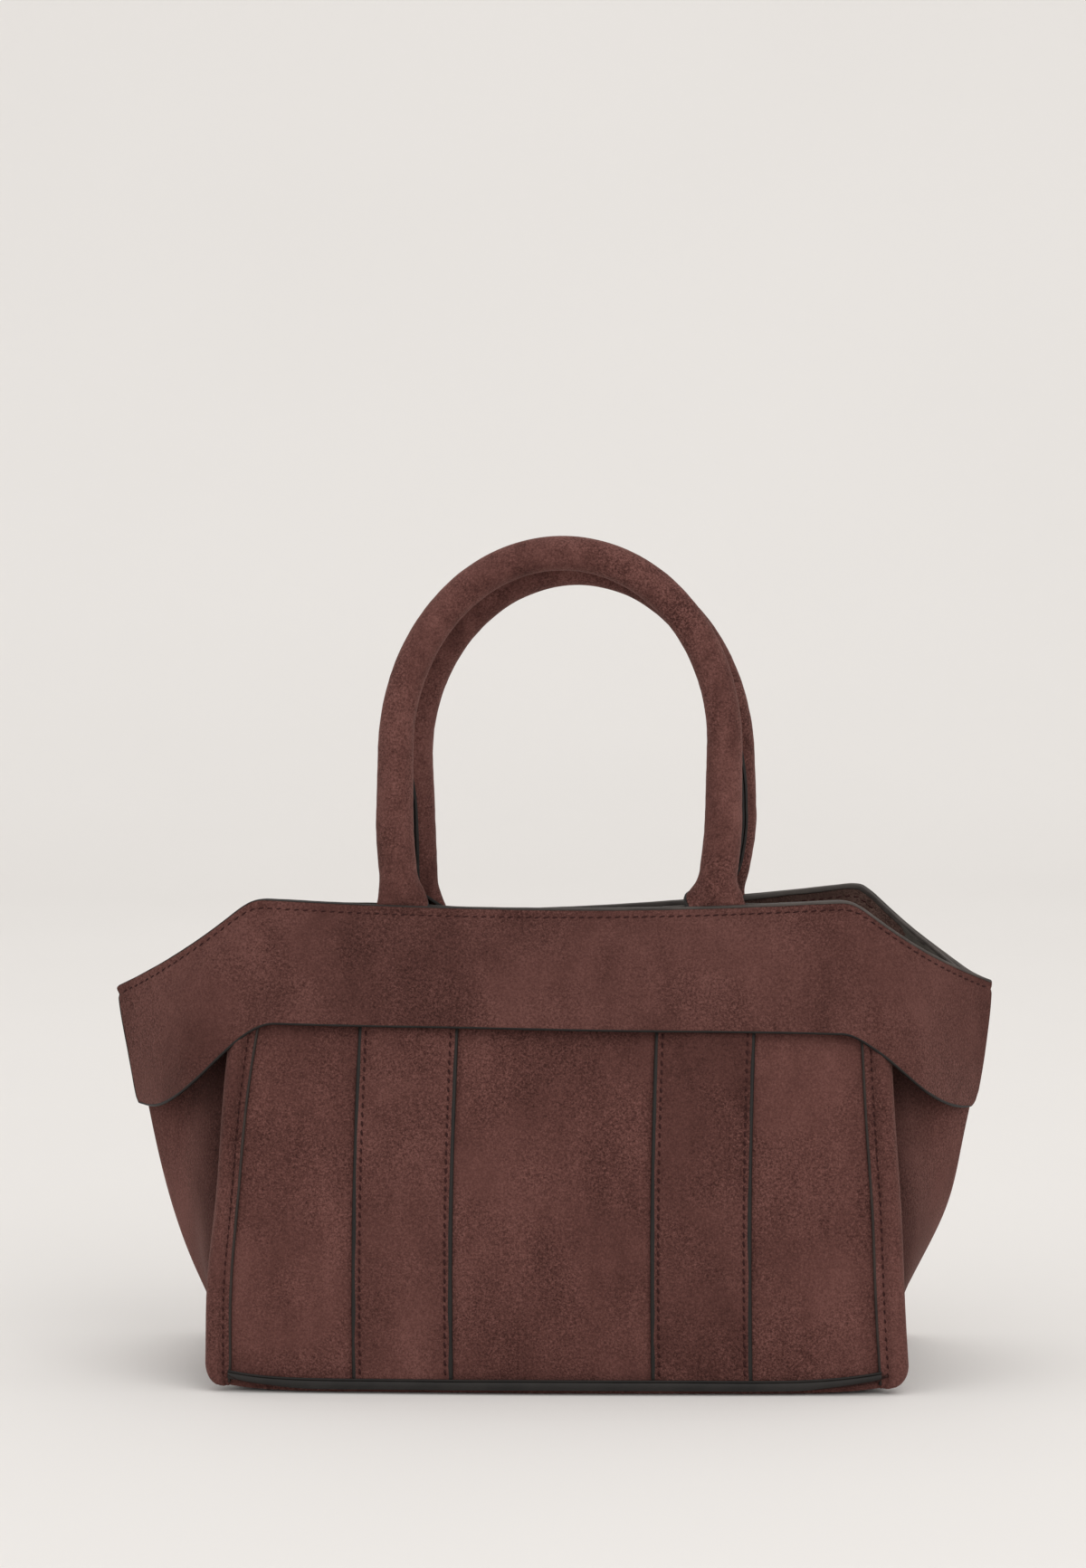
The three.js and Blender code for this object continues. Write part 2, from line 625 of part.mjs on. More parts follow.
function snapSocket() {
  const hole = disc(POST_R + POST_EASE, SOCKET_T - POST_LENGTH - POST_EASE, SOCKET_T + SNAP_BEVEL, 0);
  const drilled = cut(disc(SNAP_R, 0, SOCKET_T, SNAP_BEVEL), [hole]);
  return seated(join(drilled, prongs()));
}

function snapStud() {
  const post = disc(POST_R, 0, STUD_T + POST_LENGTH, SNAP_BEVEL);
  return seated(join(disc(SNAP_R, 0, STUD_T, SNAP_BEVEL), [post, ...prongs()]));
}

function snapWasher() {
  const back = SEAM_GAP - PRONG_REACH;
  return seated(cut(disc(SNAP_R, back, back + WASHER_T, 0), prongSlots()));
}

// Pieces that cross the middle

function gusset() {
  return sheet(gussetPlan, 0, GUSSET_T, above(BOARD_BOTTOM), rimLess(RIM_STEP), 10);
}

// A plate on the base between two heights, out to its ends and nearly out to the walls.
function basePlate(end, low, high) {
  const face = (height) =>
    fractions(2).map((across) =>
      fractions(14).map((along) => {
        const x = lerp(-end, end, along);
        const half = wallDepth(x, high) - SEAM_GAP;
        return new THREE.Vector3(x, lerp(-half, half, across), baseLift(x) + height);
      }),
    );
  return slab(face(high), face(low));
}

// A solid that fills the inside from a floor up to a depth below the rim.
function insideFill(behindWall, insideGusset, floor, depth) {
  const plan = (z) => insidePlan(z, behindWall, insideGusset, 0);
  const front = faceGrid(plan, 0, 0, above(floor), rimLess(depth), 7);
  const back = front.map((row) => row.map((p) => new THREE.Vector3(p.x, -p.y, p.z)));
  const last = front.length - 1;
  return weld([
    ...grid(front),
    ...grid(back, true),
    ...grid([back[0], front[0]]),
    ...grid([front[last], back[last]]),
  ]);
}

// The lining is an open pouch, tucked up behind the facings.
function lining() {
  const pouch = insideFill(LINING_OUT, LINING_EASE, LINING_FLOOR, LINING_DEPTH);
  const besideGusset = LINING_EASE + LINING_T;
  const space = insideFill(LINING_IN, besideGusset, LINING_FLOOR + LINING_T, LINING_DEPTH - FACING_TUCK);
  return cut(pouch, [space]);
}

// Assembly

function halfBag(side, [left, right], snapName, snap) {
  const made = new THREE.Group();
  made.add(
    piece(`${side}_panel`, panel(), SUEDE),
    piece(`${side}_stiffener`, stiffener(), BOARD),
    piece(`${side}_collar`, collar(), SUEDE),
    piece(`${side}_facing`, facing(), SUEDE),
    piece(`${side}_base_piping`, basePiping(), EDGE_PAINT),
    piece(snapName, snap, STEEL),
    piece(`${snapName}_washer`, snapWasher(), STEEL),
    handle(side),
  );
  for (const [hand, sign] of [[left, -1], [right, 1]]) {
    made.add(
      piece(`${side}_strip_${hand}`, strip(sign), SUEDE),
      piece(`${side}_binding_${hand}`, binding(sign), SUEDE),
      piece(`${side}_handle_tab_${hand}`, handleTab(sign), SUEDE),
    );
  }
  return made;
}

const bag = new THREE.Group();
const backHalf = halfBag("back", ["right", "left"], "snap_stud", snapStud());
backHalf.rotation.z = Math.PI;
const leftGusset = piece("left_gusset", gusset(), SUEDE);
leftGusset.rotation.z = Math.PI;

const foot = gussetSide(0);
const boardEnd = Math.min(foot.keel.x - KEEL_ROUND, foot.bend.x - BEND_R) - SEAM_GAP;
bag.add(
  halfBag("front", ["left", "right"], "snap_socket", snapSocket()),
  backHalf,
  piece("right_gusset", gusset(), SUEDE),
  leftGusset,
  piece("base_panel", basePlate(BASE_HALF_WIDTH - FLANGE, 0, PANEL_T), SUEDE),
  piece("base_board", basePlate(boardEnd, BOARD_BOTTOM, BOARD_BOTTOM + BOARD_T), BOARD),
  piece("lining", lining(), LINING_CLOTH),
);

export default bag;
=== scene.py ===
"""The looks of a soft winged handbag in brown imitation suede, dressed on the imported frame.

Shapes are worked out in millimetres in the part's own frame, X to the right, Y to the back and Z up,
and every mesh is written in metres. The back half is made like the front half and turned half way round.
"""
import math
from collections import namedtuple

import bpy
import numpy as np
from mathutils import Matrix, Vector


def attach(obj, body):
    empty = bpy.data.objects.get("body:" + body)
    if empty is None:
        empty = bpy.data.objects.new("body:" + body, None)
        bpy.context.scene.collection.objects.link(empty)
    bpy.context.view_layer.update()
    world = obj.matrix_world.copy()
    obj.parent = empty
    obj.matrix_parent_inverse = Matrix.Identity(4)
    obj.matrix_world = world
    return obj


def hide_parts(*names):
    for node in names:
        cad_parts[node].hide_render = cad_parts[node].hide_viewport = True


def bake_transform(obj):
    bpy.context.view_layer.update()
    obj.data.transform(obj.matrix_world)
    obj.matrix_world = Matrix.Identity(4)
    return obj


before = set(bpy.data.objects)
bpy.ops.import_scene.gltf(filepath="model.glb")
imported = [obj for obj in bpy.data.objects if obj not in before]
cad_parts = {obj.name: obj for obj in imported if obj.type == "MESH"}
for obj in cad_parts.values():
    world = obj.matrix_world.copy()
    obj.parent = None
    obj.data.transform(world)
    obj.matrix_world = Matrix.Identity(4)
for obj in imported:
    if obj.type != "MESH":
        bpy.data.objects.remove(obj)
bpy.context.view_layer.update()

MM = 0.001

# Body: the part's own sizes, some of them fitted closer to the photo
TIP_HALF_SPAN = 150.7
TIP_TOP = 131.5
TIP_BOTTOM = 90.2
WING_BASE_INSET = 11
WING_CURVE = 1.63
RIM_HEIGHT = 163
RIM_DIP = 3.5
SHOULDER_X = 103
SHOULDER_ROUND = 3.5
BASE_HALF_WIDTH = 119.3
RIM_HALF_WIDTH = 109.2
BASE_HALF_DEPTH = 53
RIM_HALF_DEPTH = 22
WALL_LEAN_SHARE = 0.35
BASE_BOW = 3
BELLY = 4
PINCH = 4
BASE_LIFT = 2.5
BASE_FLAT_X = 60
PANEL_T = 1.6
GUSSET_T = 1.4
COLLAR_T = 1.6
FACING_T = 1.2
COLLAR_OUT = 5.55  # outside of the collar, from the inside face of the panel
FACING_IN = 4.05  # inside of the facing, behind the same face
LINING_IN = 2.5
COLLAR_EASE = 0.6
LINING_EASE = 0.7
LINING_T = 0.6
SEAM_GAP = 0.35
COLLAR_BOTTOM = 120.5
COLLAR_DROP_START = 94
COLLAR_DROP_END = 141
COLLAR_CORNER_REACH = 7
COLLAR_RIM_REACH = 1.5
FACING_DEPTH = 36
LINING_DEPTH = 32
LINING_FLOOR = 4.3
STRIP_INNER_X = 33.7
STRIP_WIDTH = 33
FLANGE = 10
RIM_FLANGE = 4
BINDING_WIDTH = 9.8
BINDING_TOP = 132
BEND_R = 2.5
PIPING_LOW = 1.5
PIPING_HEIGHT = 3.0
PIPING_OUT = 1.7
PIPING_DEPTH = 3.2

# Handles
HANDLE_T = 1.8
HANDLE_RISE = 114
ARCH_RISE = 66
TAB_FOLD_RISE = 6
TAB_BEHIND = 1.25  # fold behind the inside face of the panel
HANDLE_LEAN = math.radians(4.144)
ROLL_STANDOFF = 3

# What the sewn bag adds to the plain solids
COLLAR_ROUND = 13  # length over which the collar turns at the wall's corner
RIM_T = 3.0  # thickness of the sewn rim
TAB_RIM_T = 6.2  # the same where a handle's tab is sewn in
RIM_OUT = 1.3  # outside of the sewn rim across the wall
RIM_DRAW = 15  # depth below the rim over which collar and facing are drawn together
RIM_PAINT_SPAN = (-75, 60)  # across the bag, where the rim's slim dark paint becomes wide, and lighter grey as a painted highlight
RIM_STITCH = 2.7  # rim to its row of stitches
FACING_STITCH = 3.9
STRIP_STITCH = 2.15  # strip's edge to its rows of stitches
STITCH_PITCH = 3.05
STITCH_LENGTH = 2.45
STITCH_R = 0.36
RIM_STITCH_R = 0.27
STITCH_SIDES = 6
STITCH_SLANT = 0.2  # how far its ends stand to either side of the row
STITCH_RISE = 0.16  # its middle above the suede
STITCH_DIP = 0.40  # its ends below its middle
GROOVE = 0.38  # how deep a row of stitches draws the suede in
GROOVE_WIDTH = 0.75
WALL_RIPPLE = 0.7
GUSSET_RIPPLE = 2.0
GUSSET_RECESS = 2.5  # how far the gusset dips in beside its binding
STRIP_BOW = 1.1  # how far the strips bow to the left at mid height
STRIP_SHIFT = -0.55
WALL_LEAN = (-1.05, 0.55)  # how far a wall stands to its own right at the base and near the rim
WALL_LEAN_HEIGHT = 150
TIP_TILT = 1.4  # how far the right tip stands above the plain line, and the left tip below it
TIP_SWAY = -2.5  # how far both tips stand to the right of the middle
KEEL_GAP = 0.8  # how far the inner layers stop short of a gusset's fold

# One half of the bag, seen from its own side. turn is 1 at the front and -1 at the back, sway moves the rim
# to the right, rise lifts it at its left and right shoulders, sag hollows its left and right slopes, and
# tilt lowers the collar's edge to the right.
Side = namedtuple("Side", "name turn seed sway rise sag tilt")
FRONT = Side("front", 1, 3, -2.5, (0.0, 0.0), (2.0, 2.4), 1.3)
BACK = Side("back", -1, 8, -2.0, (3.4, -6.0), (5.4, 4.0), 0.0)
SIDES = (FRONT, BACK)
RISE_SPAN = (-177, 86)  # from left to right, where the rim goes from one rise to the other
RISE_FADE = (SHOULDER_X - 8, TIP_HALF_SPAN - 4)  # from the middle, where a rise dies away
SWAY_HELD = (60, 90)  # to the right, where the collar's edge takes up the rim's sway
SETTLE_STEPS = 14


def lerp(a, b, t):
    return a + (b - a) * t


def between(x, low, high):
    """How far x is on its way from low to high, 0 to 1."""
    return np.clip((x - low) / (high - low), 0, 1)


def smoothstep(x, low, high):
    t = between(x, low, high)
    return t * t * (3 - 2 * t)


def bump(x, middle, width, height=1):
    return height * np.exp(-(((x - middle) / width) ** 2))


def around(angle):
    return np.stack([np.cos(angle), np.sin(angle)])


def xyz(x, y, z):
    """Points from their coordinates, of which some may be the same along a row or a column."""
    return np.stack(np.broadcast_arrays(x, y, z), axis=-1)


def ripple(a, b, seed, shortest=45, longest=130):
    """A gentle irregularity, about -1 to 1, over two coordinates in millimetres."""
    rng = np.random.default_rng(seed)
    total = 0
    waves = 7
    for _ in range(waves):
        heading, phase = rng.uniform(0, 2 * math.pi, 2)
        length = rng.uniform(shortest, longest)
        along = a * math.cos(heading) + b * math.sin(heading)
        total = total + np.sin(2 * math.pi * along / length + phase)
    return total / math.sqrt(waves) * 0.8


# Outline of the bag

def half_width(z):
    return lerp(BASE_HALF_WIDTH, RIM_HALF_WIDTH, z / RIM_HEIGHT)


def edge_depth(z):
    t = z / RIM_HEIGHT
    lean = WALL_LEAN_SHARE * t + (1 - WALL_LEAN_SHARE) * smoothstep(t, 0, 1)
    return lerp(BASE_HALF_DEPTH, RIM_HALF_DEPTH, lean)


def wall_depth(side, x, z):
    """Depth of the inside of a wall, with its soft unevenness."""
    t = between(z, 0, RIM_HEIGHT)
    bulge = BASE_BOW * (1 - t) + BELLY * np.sin(math.pi * t) - PINCH * t**4
    free = np.maximum(0, 1 - (x / half_width(z)) ** 2)
    uneven = WALL_RIPPLE * ripple(x, z, side.seed) * np.sin(math.pi * np.clip(t, 0.03, 0.97))
    return edge_depth(z) + (bulge + uneven) * free


def rim_line(side, x):
    a = np.abs(x)
    slope = (RIM_HEIGHT - TIP_TOP) / (TIP_HALF_SPAN - SHOULDER_X)
    flat = RIM_HEIGHT - RIM_DIP * np.maximum(0, 1 - (a / SHOULDER_X) ** 2)
    fall = RIM_HEIGHT - slope * (a - SHOULDER_X)
    share = np.clip(0.5 + (0.5 * (fall - flat)) / SHOULDER_ROUND, 0, 1)
    height = lerp(fall, flat, share) - SHOULDER_ROUND * share * (1 - share)
    held = 1 - smoothstep(a, *RISE_FADE)
    raised = lerp(*side.rise, smoothstep(x, *RISE_SPAN)) * held
    down = between(a, SHOULDER_X, TIP_HALF_SPAN)
    hollow = np.where(x < 0, *side.sag) * np.sin(math.pi * down)
    return height + raised - hollow + side.turn * np.sign(x) * TIP_TILT * down


def collar_edge(side, x):
    held = side.sway * smoothstep(x, *SWAY_HELD)
    fall = smoothstep(np.abs(x + held), COLLAR_DROP_START, COLLAR_DROP_END)
    level = COLLAR_BOTTOM - side.tilt * np.clip(x / COLLAR_DROP_START, -1, 1)
    return lerp(level, TIP_BOTTOM, fall)


def base_lift(x):
    run = np.maximum(0, np.abs(x) - BASE_FLAT_X) / (BASE_HALF_WIDTH - FLANGE - BASE_FLAT_X)
    return BASE_LIFT * run**4


def wing_reach(z):
    drawn = (1 - between(z, 0, TIP_TOP)) ** WING_CURVE
    return lerp(TIP_HALF_SPAN, BASE_HALF_WIDTH - WING_BASE_INSET, drawn)


def drawn_in(z):
    return smoothstep(z, BINDING_TOP, RIM_HEIGHT)


def collar_heading(z):
    corner_x = half_width(z) + lerp(COLLAR_CORNER_REACH, COLLAR_RIM_REACH, drawn_in(z))
    run = np.stack([wing_reach(z) - corner_x, edge_depth(z) + COLLAR_OUT])
    return run / np.linalg.norm(run, axis=0)


def gusset_line(side, z):
    """The bend where the gusset leaves its flange, the angle there, its outer fold and its heading."""
    root = half_width(z) - lerp(FLANGE, RIM_FLANGE, drawn_in(z))
    bend = np.stack([root, -wall_depth(side, root, z) + SEAM_GAP + BEND_R])
    covered = smoothstep(z, TIP_BOTTOM - FACING_DEPTH, TIP_BOTTOM)
    reach = wing_reach(z) - (COLLAR_T / collar_heading(z)[1] + COLLAR_EASE) * covered
    slope = np.arctan2(-bend[1], reach - bend[0])
    keel = np.stack([reach - GUSSET_T / np.sin(slope), 0 * z])
    run = keel - bend
    length = np.linalg.norm(run, axis=0)
    leave = np.arctan2(run[1], run[0]) + np.arccos(BEND_R / length) - 2 * math.pi
    leave = np.where(leave < -math.pi, leave + 2 * math.pi, leave)
    start = bend + BEND_R * around(leave)
    heading = (keel - start) / np.linalg.norm(keel - start, axis=0)
    return bend, leave, keel, heading


# Plan lines: a point at fraction u of the way from the middle of a wall, 0, to a wing's fold, 1 or -1
CORNER_START = 0.60
CORNER_END = 0.74


def wing_plan(side, u, z, out, fold, heading, corner_round, end_gap):
    """A line along the wall, round a corner and straight to the wing's fold, as x and y."""
    mirror = np.where(u < 0, -1, 1)
    a = np.abs(u)
    front_y = lambda x: -(wall_depth(side, mirror * x, z) + out)
    corner_at = lambda y: fold + y / heading[1] * heading[0]
    corner_y = front_y(corner_at(-(edge_depth(z) + out)))
    corner_x = corner_at(corner_y)
    wall_x = a / CORNER_START * (corner_x - corner_round)
    wall = np.stack([wall_x, front_y(wall_x)])
    before = np.stack([corner_x - corner_round, front_y(corner_x - corner_round)])
    corner = np.stack([corner_x, corner_y])
    after = corner + corner_round * heading
    t = between(a, CORNER_START, CORNER_END)
    turn = before * (1 - t) ** 2 + corner * 2 * t * (1 - t) + after * t**2
    end = np.stack([corner_at(-end_gap), -end_gap + 0 * z])
    wing = lerp(after, end, between(a, CORNER_END, 1))
    flat = np.where(a < CORNER_START, wall, np.where(a < CORNER_END, turn, wing))
    return mirror * flat[0], flat[1]


def collar_plan(side, u, z, out):
    heading = collar_heading(z)
    fold = wing_reach(z) - (COLLAR_OUT - out) / heading[1]
    return wing_plan(side, u, z, out, fold, heading, COLLAR_ROUND, SEAM_GAP)


def inside_plan(side, u, z, behind_wall, inside_gusset):
    _, _, keel, heading = gusset_line(side, z)
    fold = keel[0] - KEEL_GAP - inside_gusset / heading[1]
    return wing_plan(side, u, z, -behind_wall, fold, heading, BEND_R * 2, SEAM_GAP)


def sway(side, u):
    """How far the rim, the collar and the wings stand to a half's own right of their plain lines."""
    return lerp(side.sway, side.turn * TIP_SWAY, smoothstep(np.abs(u), CORNER_END, 1))


def settle(side, u, line, start):
    """Height at which a column of the collar meets a line of the bag."""
    z = start + 0 * u
    for _ in range(SETTLE_STEPS):
        z = line(side, collar_plan(side, u, z, COLLAR_OUT)[0])
    return z


def spans(*parts):
    """Numbers along joined spans, each given by its start, end and count."""
    return np.append(np.concatenate([np.linspace(*part)[:-1] for part in parts]), parts[-1][1])


# Meshes

def grid_quads(rows, columns, offset=0):
    r, c = np.meshgrid(np.arange(rows - 1), np.arange(columns - 1), indexing="ij")
    a = (r * columns + c).ravel() + offset
    return np.stack([a, a + 1, a + columns + 1, a + columns], axis=1)


def slab(outer, inner):
    """Vertices and faces of a closed sheet between two grids of points."""
    rows, columns = outer.shape[:2]
    count = rows * columns
    ids = np.arange(count).reshape(rows, columns)
    border = np.concatenate([ids[0, :-1], ids[:-1, -1], ids[-1, :0:-1], ids[:0:-1, 0]])
    after = np.roll(border, -1)
    faces = [
        grid_quads(rows, columns),
        grid_quads(rows, columns, count)[:, ::-1],
        np.stack([after, border, border + count, after + count], axis=1),
    ]
    return np.concatenate([outer.reshape(-1, 3), inner.reshape(-1, 3)]), np.concatenate(faces).tolist()


def loft(rings):
    """Vertices and faces of a closed solid through rows of like rings of points."""
    rows, sides = rings.shape[:2]
    ids = np.arange(rows * sides).reshape(rows, sides)
    right = np.roll(ids, -1, axis=1)
    quads = np.stack([ids[:-1], right[:-1], right[1:], ids[1:]], axis=-1).reshape(-1, 4).tolist()
    return rings.reshape(-1, 3), quads + [ids[0, ::-1].tolist(), ids[-1].tolist()]


def joined(parts):
    vertices, faces, offset = [], [], 0
    for points, polygons in parts:
        vertices.append(points)
        faces.extend([[i + offset for i in polygon] for polygon in polygons])
        offset += len(points)
    return np.concatenate(vertices), faces


def volume(vertices, faces):
    """Six times the volume inside closed faces, negative where they face in."""
    fans = [(face[0], face[k], face[k + 1]) for face in faces for k in range(1, len(face) - 1)]
    a, b, c = np.moveaxis(vertices[np.array(fans)], 1, 0)
    return np.sum(a * np.cross(b, c))


def turned(points, side):
    """Turns points of a front half half way round for the back half."""
    return points * np.array([side.turn, side.turn, 1.0])


SHARP_ANGLE = math.radians(55)


def add_object(name, data):
    made = bpy.data.objects.new(name, data)
    bpy.context.scene.collection.objects.link(made)
    return made


def add_mesh(name, vertices, faces, material):
    """A smooth shaded object from vertices in metres and faces."""
    mesh = bpy.data.meshes.new(name)
    mesh.from_pydata(vertices, [], faces)
    mesh.polygons.foreach_set("use_smooth", [True] * len(mesh.polygons))
    mesh.set_sharp_from_angle(angle=SHARP_ANGLE)
    mesh.materials.append(material)
    return add_object(name, mesh)


def make(name, shape, material, side=FRONT, replaces=(), body="bag"):
    """A piece of the bag from a closed shape in millimetres."""
    vertices, faces = shape
    if volume(vertices, faces) < 0:
        faces = [face[::-1] for face in faces]
    piece = add_mesh(name, (turned(vertices, side) * MM).tolist(), faces, material)
    if body:
        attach(piece, body)
    if replaces:
        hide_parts(*replaces)
    return piece


def unit(vectors):
    return vectors / np.maximum(np.linalg.norm(vectors, axis=-1, keepdims=True), 1e-9)


def grid_normals(grid):
    """Normals of a grid of points, from its rows and columns."""
    return unit(np.cross(np.gradient(grid, axis=1), np.gradient(grid, axis=0)))


def tangents(path):
    return unit(np.gradient(path, axis=0))


def lengths(path):
    """Distance along a path at each of its points."""
    return np.concatenate([[0], np.cumsum(np.linalg.norm(np.diff(path, axis=0), axis=1))])


def painted_edge(path, outward, normal, half_t, wrap, swell):
    """A rounded bead of edge paint along a path, wrapped over both faces of the sheet that it ends."""
    along = tangents(path)
    normal = unit(normal - along * np.sum(normal * along, axis=1, keepdims=True))
    outward = outward - along * np.sum(outward * along, axis=1, keepdims=True)
    outward = unit(outward - normal * np.sum(outward * normal, axis=1, keepdims=True))
    half = [(-wrap, 0.80), (-wrap * 0.93, 0.93), (-wrap * 0.7, 1.0), (0.0, 1.0), (swell * 0.55, 0.86)]
    half += [(swell * 0.87, 0.55), (swell, 0.18)]
    profile = half + [(a, -b) for a, b in reversed(half)]
    run = lengths(path)[:, None]
    uneven = 1 + 0.07 * ripple(run, 0 * run, len(path), 5, 24)
    rings = [path + outward * a * uneven + normal * b * half_t * uneven**0.5 for a, b in profile]
    return loft(np.stack(rings, axis=1))


def stitch_row(path, normal, girth=STITCH_R):
    """Single stitches along a path on a surface: each is a short strand that dips in at both ends."""
    run = lengths(path)
    count = max(1, int(run[-1] / STITCH_PITCH))
    places = (np.arange(count) + 0.5) * run[-1] / count
    at = lambda values: np.stack([np.interp(places, run, values[:, k]) for k in range(3)], axis=1)
    centre, along, up = at(path), unit(at(tangents(path))), unit(at(normal))
    across = unit(np.cross(up, along))
    up = np.cross(along, across)
    turns = np.arange(STITCH_SIDES) * 2 * math.pi / STITCH_SIDES
    station = np.linspace(-1, 1, 7)[:, None]
    radius = girth * np.sqrt(np.maximum(0.04, 1 - np.abs(station) ** 3))
    t = (station * STITCH_LENGTH / 2 + 0 * turns)[..., None]
    a = (radius * np.cos(turns) + STITCH_SLANT * station)[..., None]
    n = (radius * np.sin(turns) * 0.85 + STITCH_RISE - STITCH_DIP * station**2)[..., None]
    return joined([loft(centre[k] + t * along[k] + a * across[k] + n * up[k]) for k in range(count)])


def pucker(distance, run):
    """How far a row of stitches draws the suede in, deepest at the holes."""
    holes = 0.75 + 0.25 * np.cos(2 * math.pi * run / STITCH_PITCH)
    return GROOVE * bump(distance, 0, GROOVE_WIDTH) * holes


# Materials

class Graph:
    """A material's nodes around its own Principled shader."""

    def __init__(self, name, **constants):
        self.material = bpy.data.materials.new(name)
        self.material.use_nodes = True
        self.tree = self.material.node_tree
        self.shader = self.tree.nodes["Principled BSDF"]
        self.feed(self.shader, constants)
        self.place = self.add("TexCoord").outputs["Object"]

    def feed(self, node, inputs):
        """Sets or links inputs of a node, which go by number or by name with _ for each space."""
        for key, value in inputs.items():
            socket = node.inputs[key.replace("_", " ") if isinstance(key, str) else key]
            if isinstance(value, bpy.types.NodeSocket):
                self.tree.links.new(value, socket)
            else:
                socket.default_value = value

    def add(self, kind, settings=None, **inputs):
        made = self.tree.nodes.new(f"ShaderNode{kind}")
        for key, value in (settings or {}).items():
            setattr(made, key, value)
        self.feed(made, inputs)
        return made

    def stretched(self, scale, shift=(0, 0, 0)):
        return self.add("Mapping", Vector=self.place, Scale=scale, Location=shift).outputs["Vector"]

    def noise(self, scale, detail=3.0, roughness=0.55, distortion=0.0, vector=None):
        made = self.add("TexNoise", Vector=vector or self.place, Scale=scale, Detail=detail)
        self.feed(made, {"Roughness": roughness, "Distortion": distortion})
        return made.outputs["Fac"]

    def wave(self, scale, distortion, detail=2.0):
        made = self.add("TexWave", {"bands_direction": "DIAGONAL"}, Vector=self.place, Scale=scale)
        self.feed(made, {"Distortion": distortion, "Detail": detail})
        return made.outputs["Fac"]

    def across(self, low, high, mirrored=False):
        """0 to 1 from one place along X to another, in millimetres, or outwards to both sides."""
        x = self.add("SeparateXYZ", Vector=self.place).outputs["X"]
        if mirrored:
            x = self.maths("ABSOLUTE", x, 0.0)
        return self.add("MapRange", Value=x, From_Min=low * MM, From_Max=high * MM).outputs["Result"]

    def ramp(self, factor, *stops):
        made = self.add("ValToRGB", Fac=factor)
        elements = made.color_ramp.elements
        while len(elements) < len(stops):
            elements.new(0.5)
        for element, (position, colour) in zip(elements, stops):
            element.position = position
            element.color = (*colour, 1)
        return made.outputs["Color"]

    def tones(self, factor, dark, light, low=0.3, high=0.7):
        """A colour, or a grey if dark and light are numbers, as the factor goes from low to high."""
        shades = [shade if isinstance(shade, tuple) else (shade,) * 3 for shade in (dark, light)]
        return self.ramp(factor, (low, shades[0]), (high, shades[1]))

    def maths(self, operation, a, b):
        made = self.add("Math", {"operation": operation})
        self.feed(made, {0: a, 1: b})
        return made.outputs["Value"]

    def weighted(self, *terms):
        """Sum of factor and weight pairs."""
        total = None
        for factor, weight in terms:
            part = self.maths("MULTIPLY", factor, weight)
            total = part if total is None else self.maths("ADD", total, part)
        return total

    def blend(self, kind, factor, a, b):
        made = self.add("Mix", {"data_type": "RGBA", "blend_type": kind})
        self.feed(made, {0: factor, 6: a, 7: b})
        return made.outputs[2]

    def done(self, height, strength, distance, **looks):
        """The material, with its bumps and what else is linked to its shader."""
        bumps = self.add("Bump", Height=height, Strength=strength, Distance=distance)
        self.feed(self.shader, {"Normal": bumps.outputs["Normal"], **looks})
        return self.material


SUEDE_DARK = (0.042, 0.0162, 0.0137)
SUEDE_MID = (0.098, 0.0402, 0.0342)
SUEDE_LIGHT = (0.172, 0.0755, 0.0650)
SHEEN = {"Sheen_Weight": 0.26, "Sheen_Roughness": 0.38, "Sheen_Tint": (0.62, 0.38, 0.33, 1)}
BRUSHED = 0.45  # how far patches and smudges are drawn out up and down
WING_PAINTED_SHADE_SPAN = (116, 129)  # from the middle, where the painted shade in the fold beside a binding fades out to the suede's own colour
PAINTED_FOLD_SHADE = 0.50  # of the suede's colour where that painted shade is deepest


def suede(name, shift, tone=1.0, patchy=0.30, smudgy=0.20, tufted=0.05, napped=0.72, tint=(1, 1, 1), flip=1,
          fold=None):
    """Imitation suede: a fine clumped nap, stronger in some places, over broad soft patches; fold, if given,
    is a span across X over which painted shade darkens the suede towards the middle.
    """
    g = Graph(name, Roughness=0.96, Specular_IOR_Level=0.10, **SHEEN)
    moved = g.stretched((1, 1, 1), shift)
    brushed = g.stretched((flip, 1.0, BRUSHED), shift)
    patches = g.noise(17, 3.0, 0.5, 0.6, brushed)
    smudges = g.noise(70, 3.0, 0.6, 0.3, brushed)
    rubbed = g.noise(30, 2.0, 0.5, 0.8, g.stretched((1, 1, 1), tuple(0.7 - s for s in shift)))
    tufts = g.noise(190, 2.0, 0.5, 0.4, moved)
    clumps = g.noise(1250, 1.0, 0.5, 0.0, moved)
    grain = g.noise(2600, 1.0, 0.5, 0.0, moved)
    nap = g.maths("SUBTRACT", g.weighted((clumps, 0.52), (grain, 0.48)), 0.5)
    raised = g.maths("MULTIPLY", nap, g.tones(rubbed, 0.52, 1.22, 0.36, 0.64))
    lie = g.weighted((patches, patchy), (smudges, smudgy), (tufts, tufted), (raised, napped))
    lie = g.maths("ADD", lie, 0.5 - (patchy + smudgy + tufted) / 2)
    stops = [(0.34, SUEDE_DARK), (0.5, SUEDE_MID), (0.66, SUEDE_LIGHT)]
    colour = g.ramp(lie, *[(at, tuple(tone * c * t for c, t in zip(shade, tint))) for at, shade in stops])
    # Painted shade: the suede is darkened in the fold beside a binding, where shadow falls.
    if fold:
        shade = g.tones(g.across(*fold, mirrored=True), PAINTED_FOLD_SHADE, 1.0, 0.0, 1.0)
        colour = g.blend("MULTIPLY", 1.0, colour, shade)
    return g.done(raised, 0.6, 0.0010, Base_Color=colour)


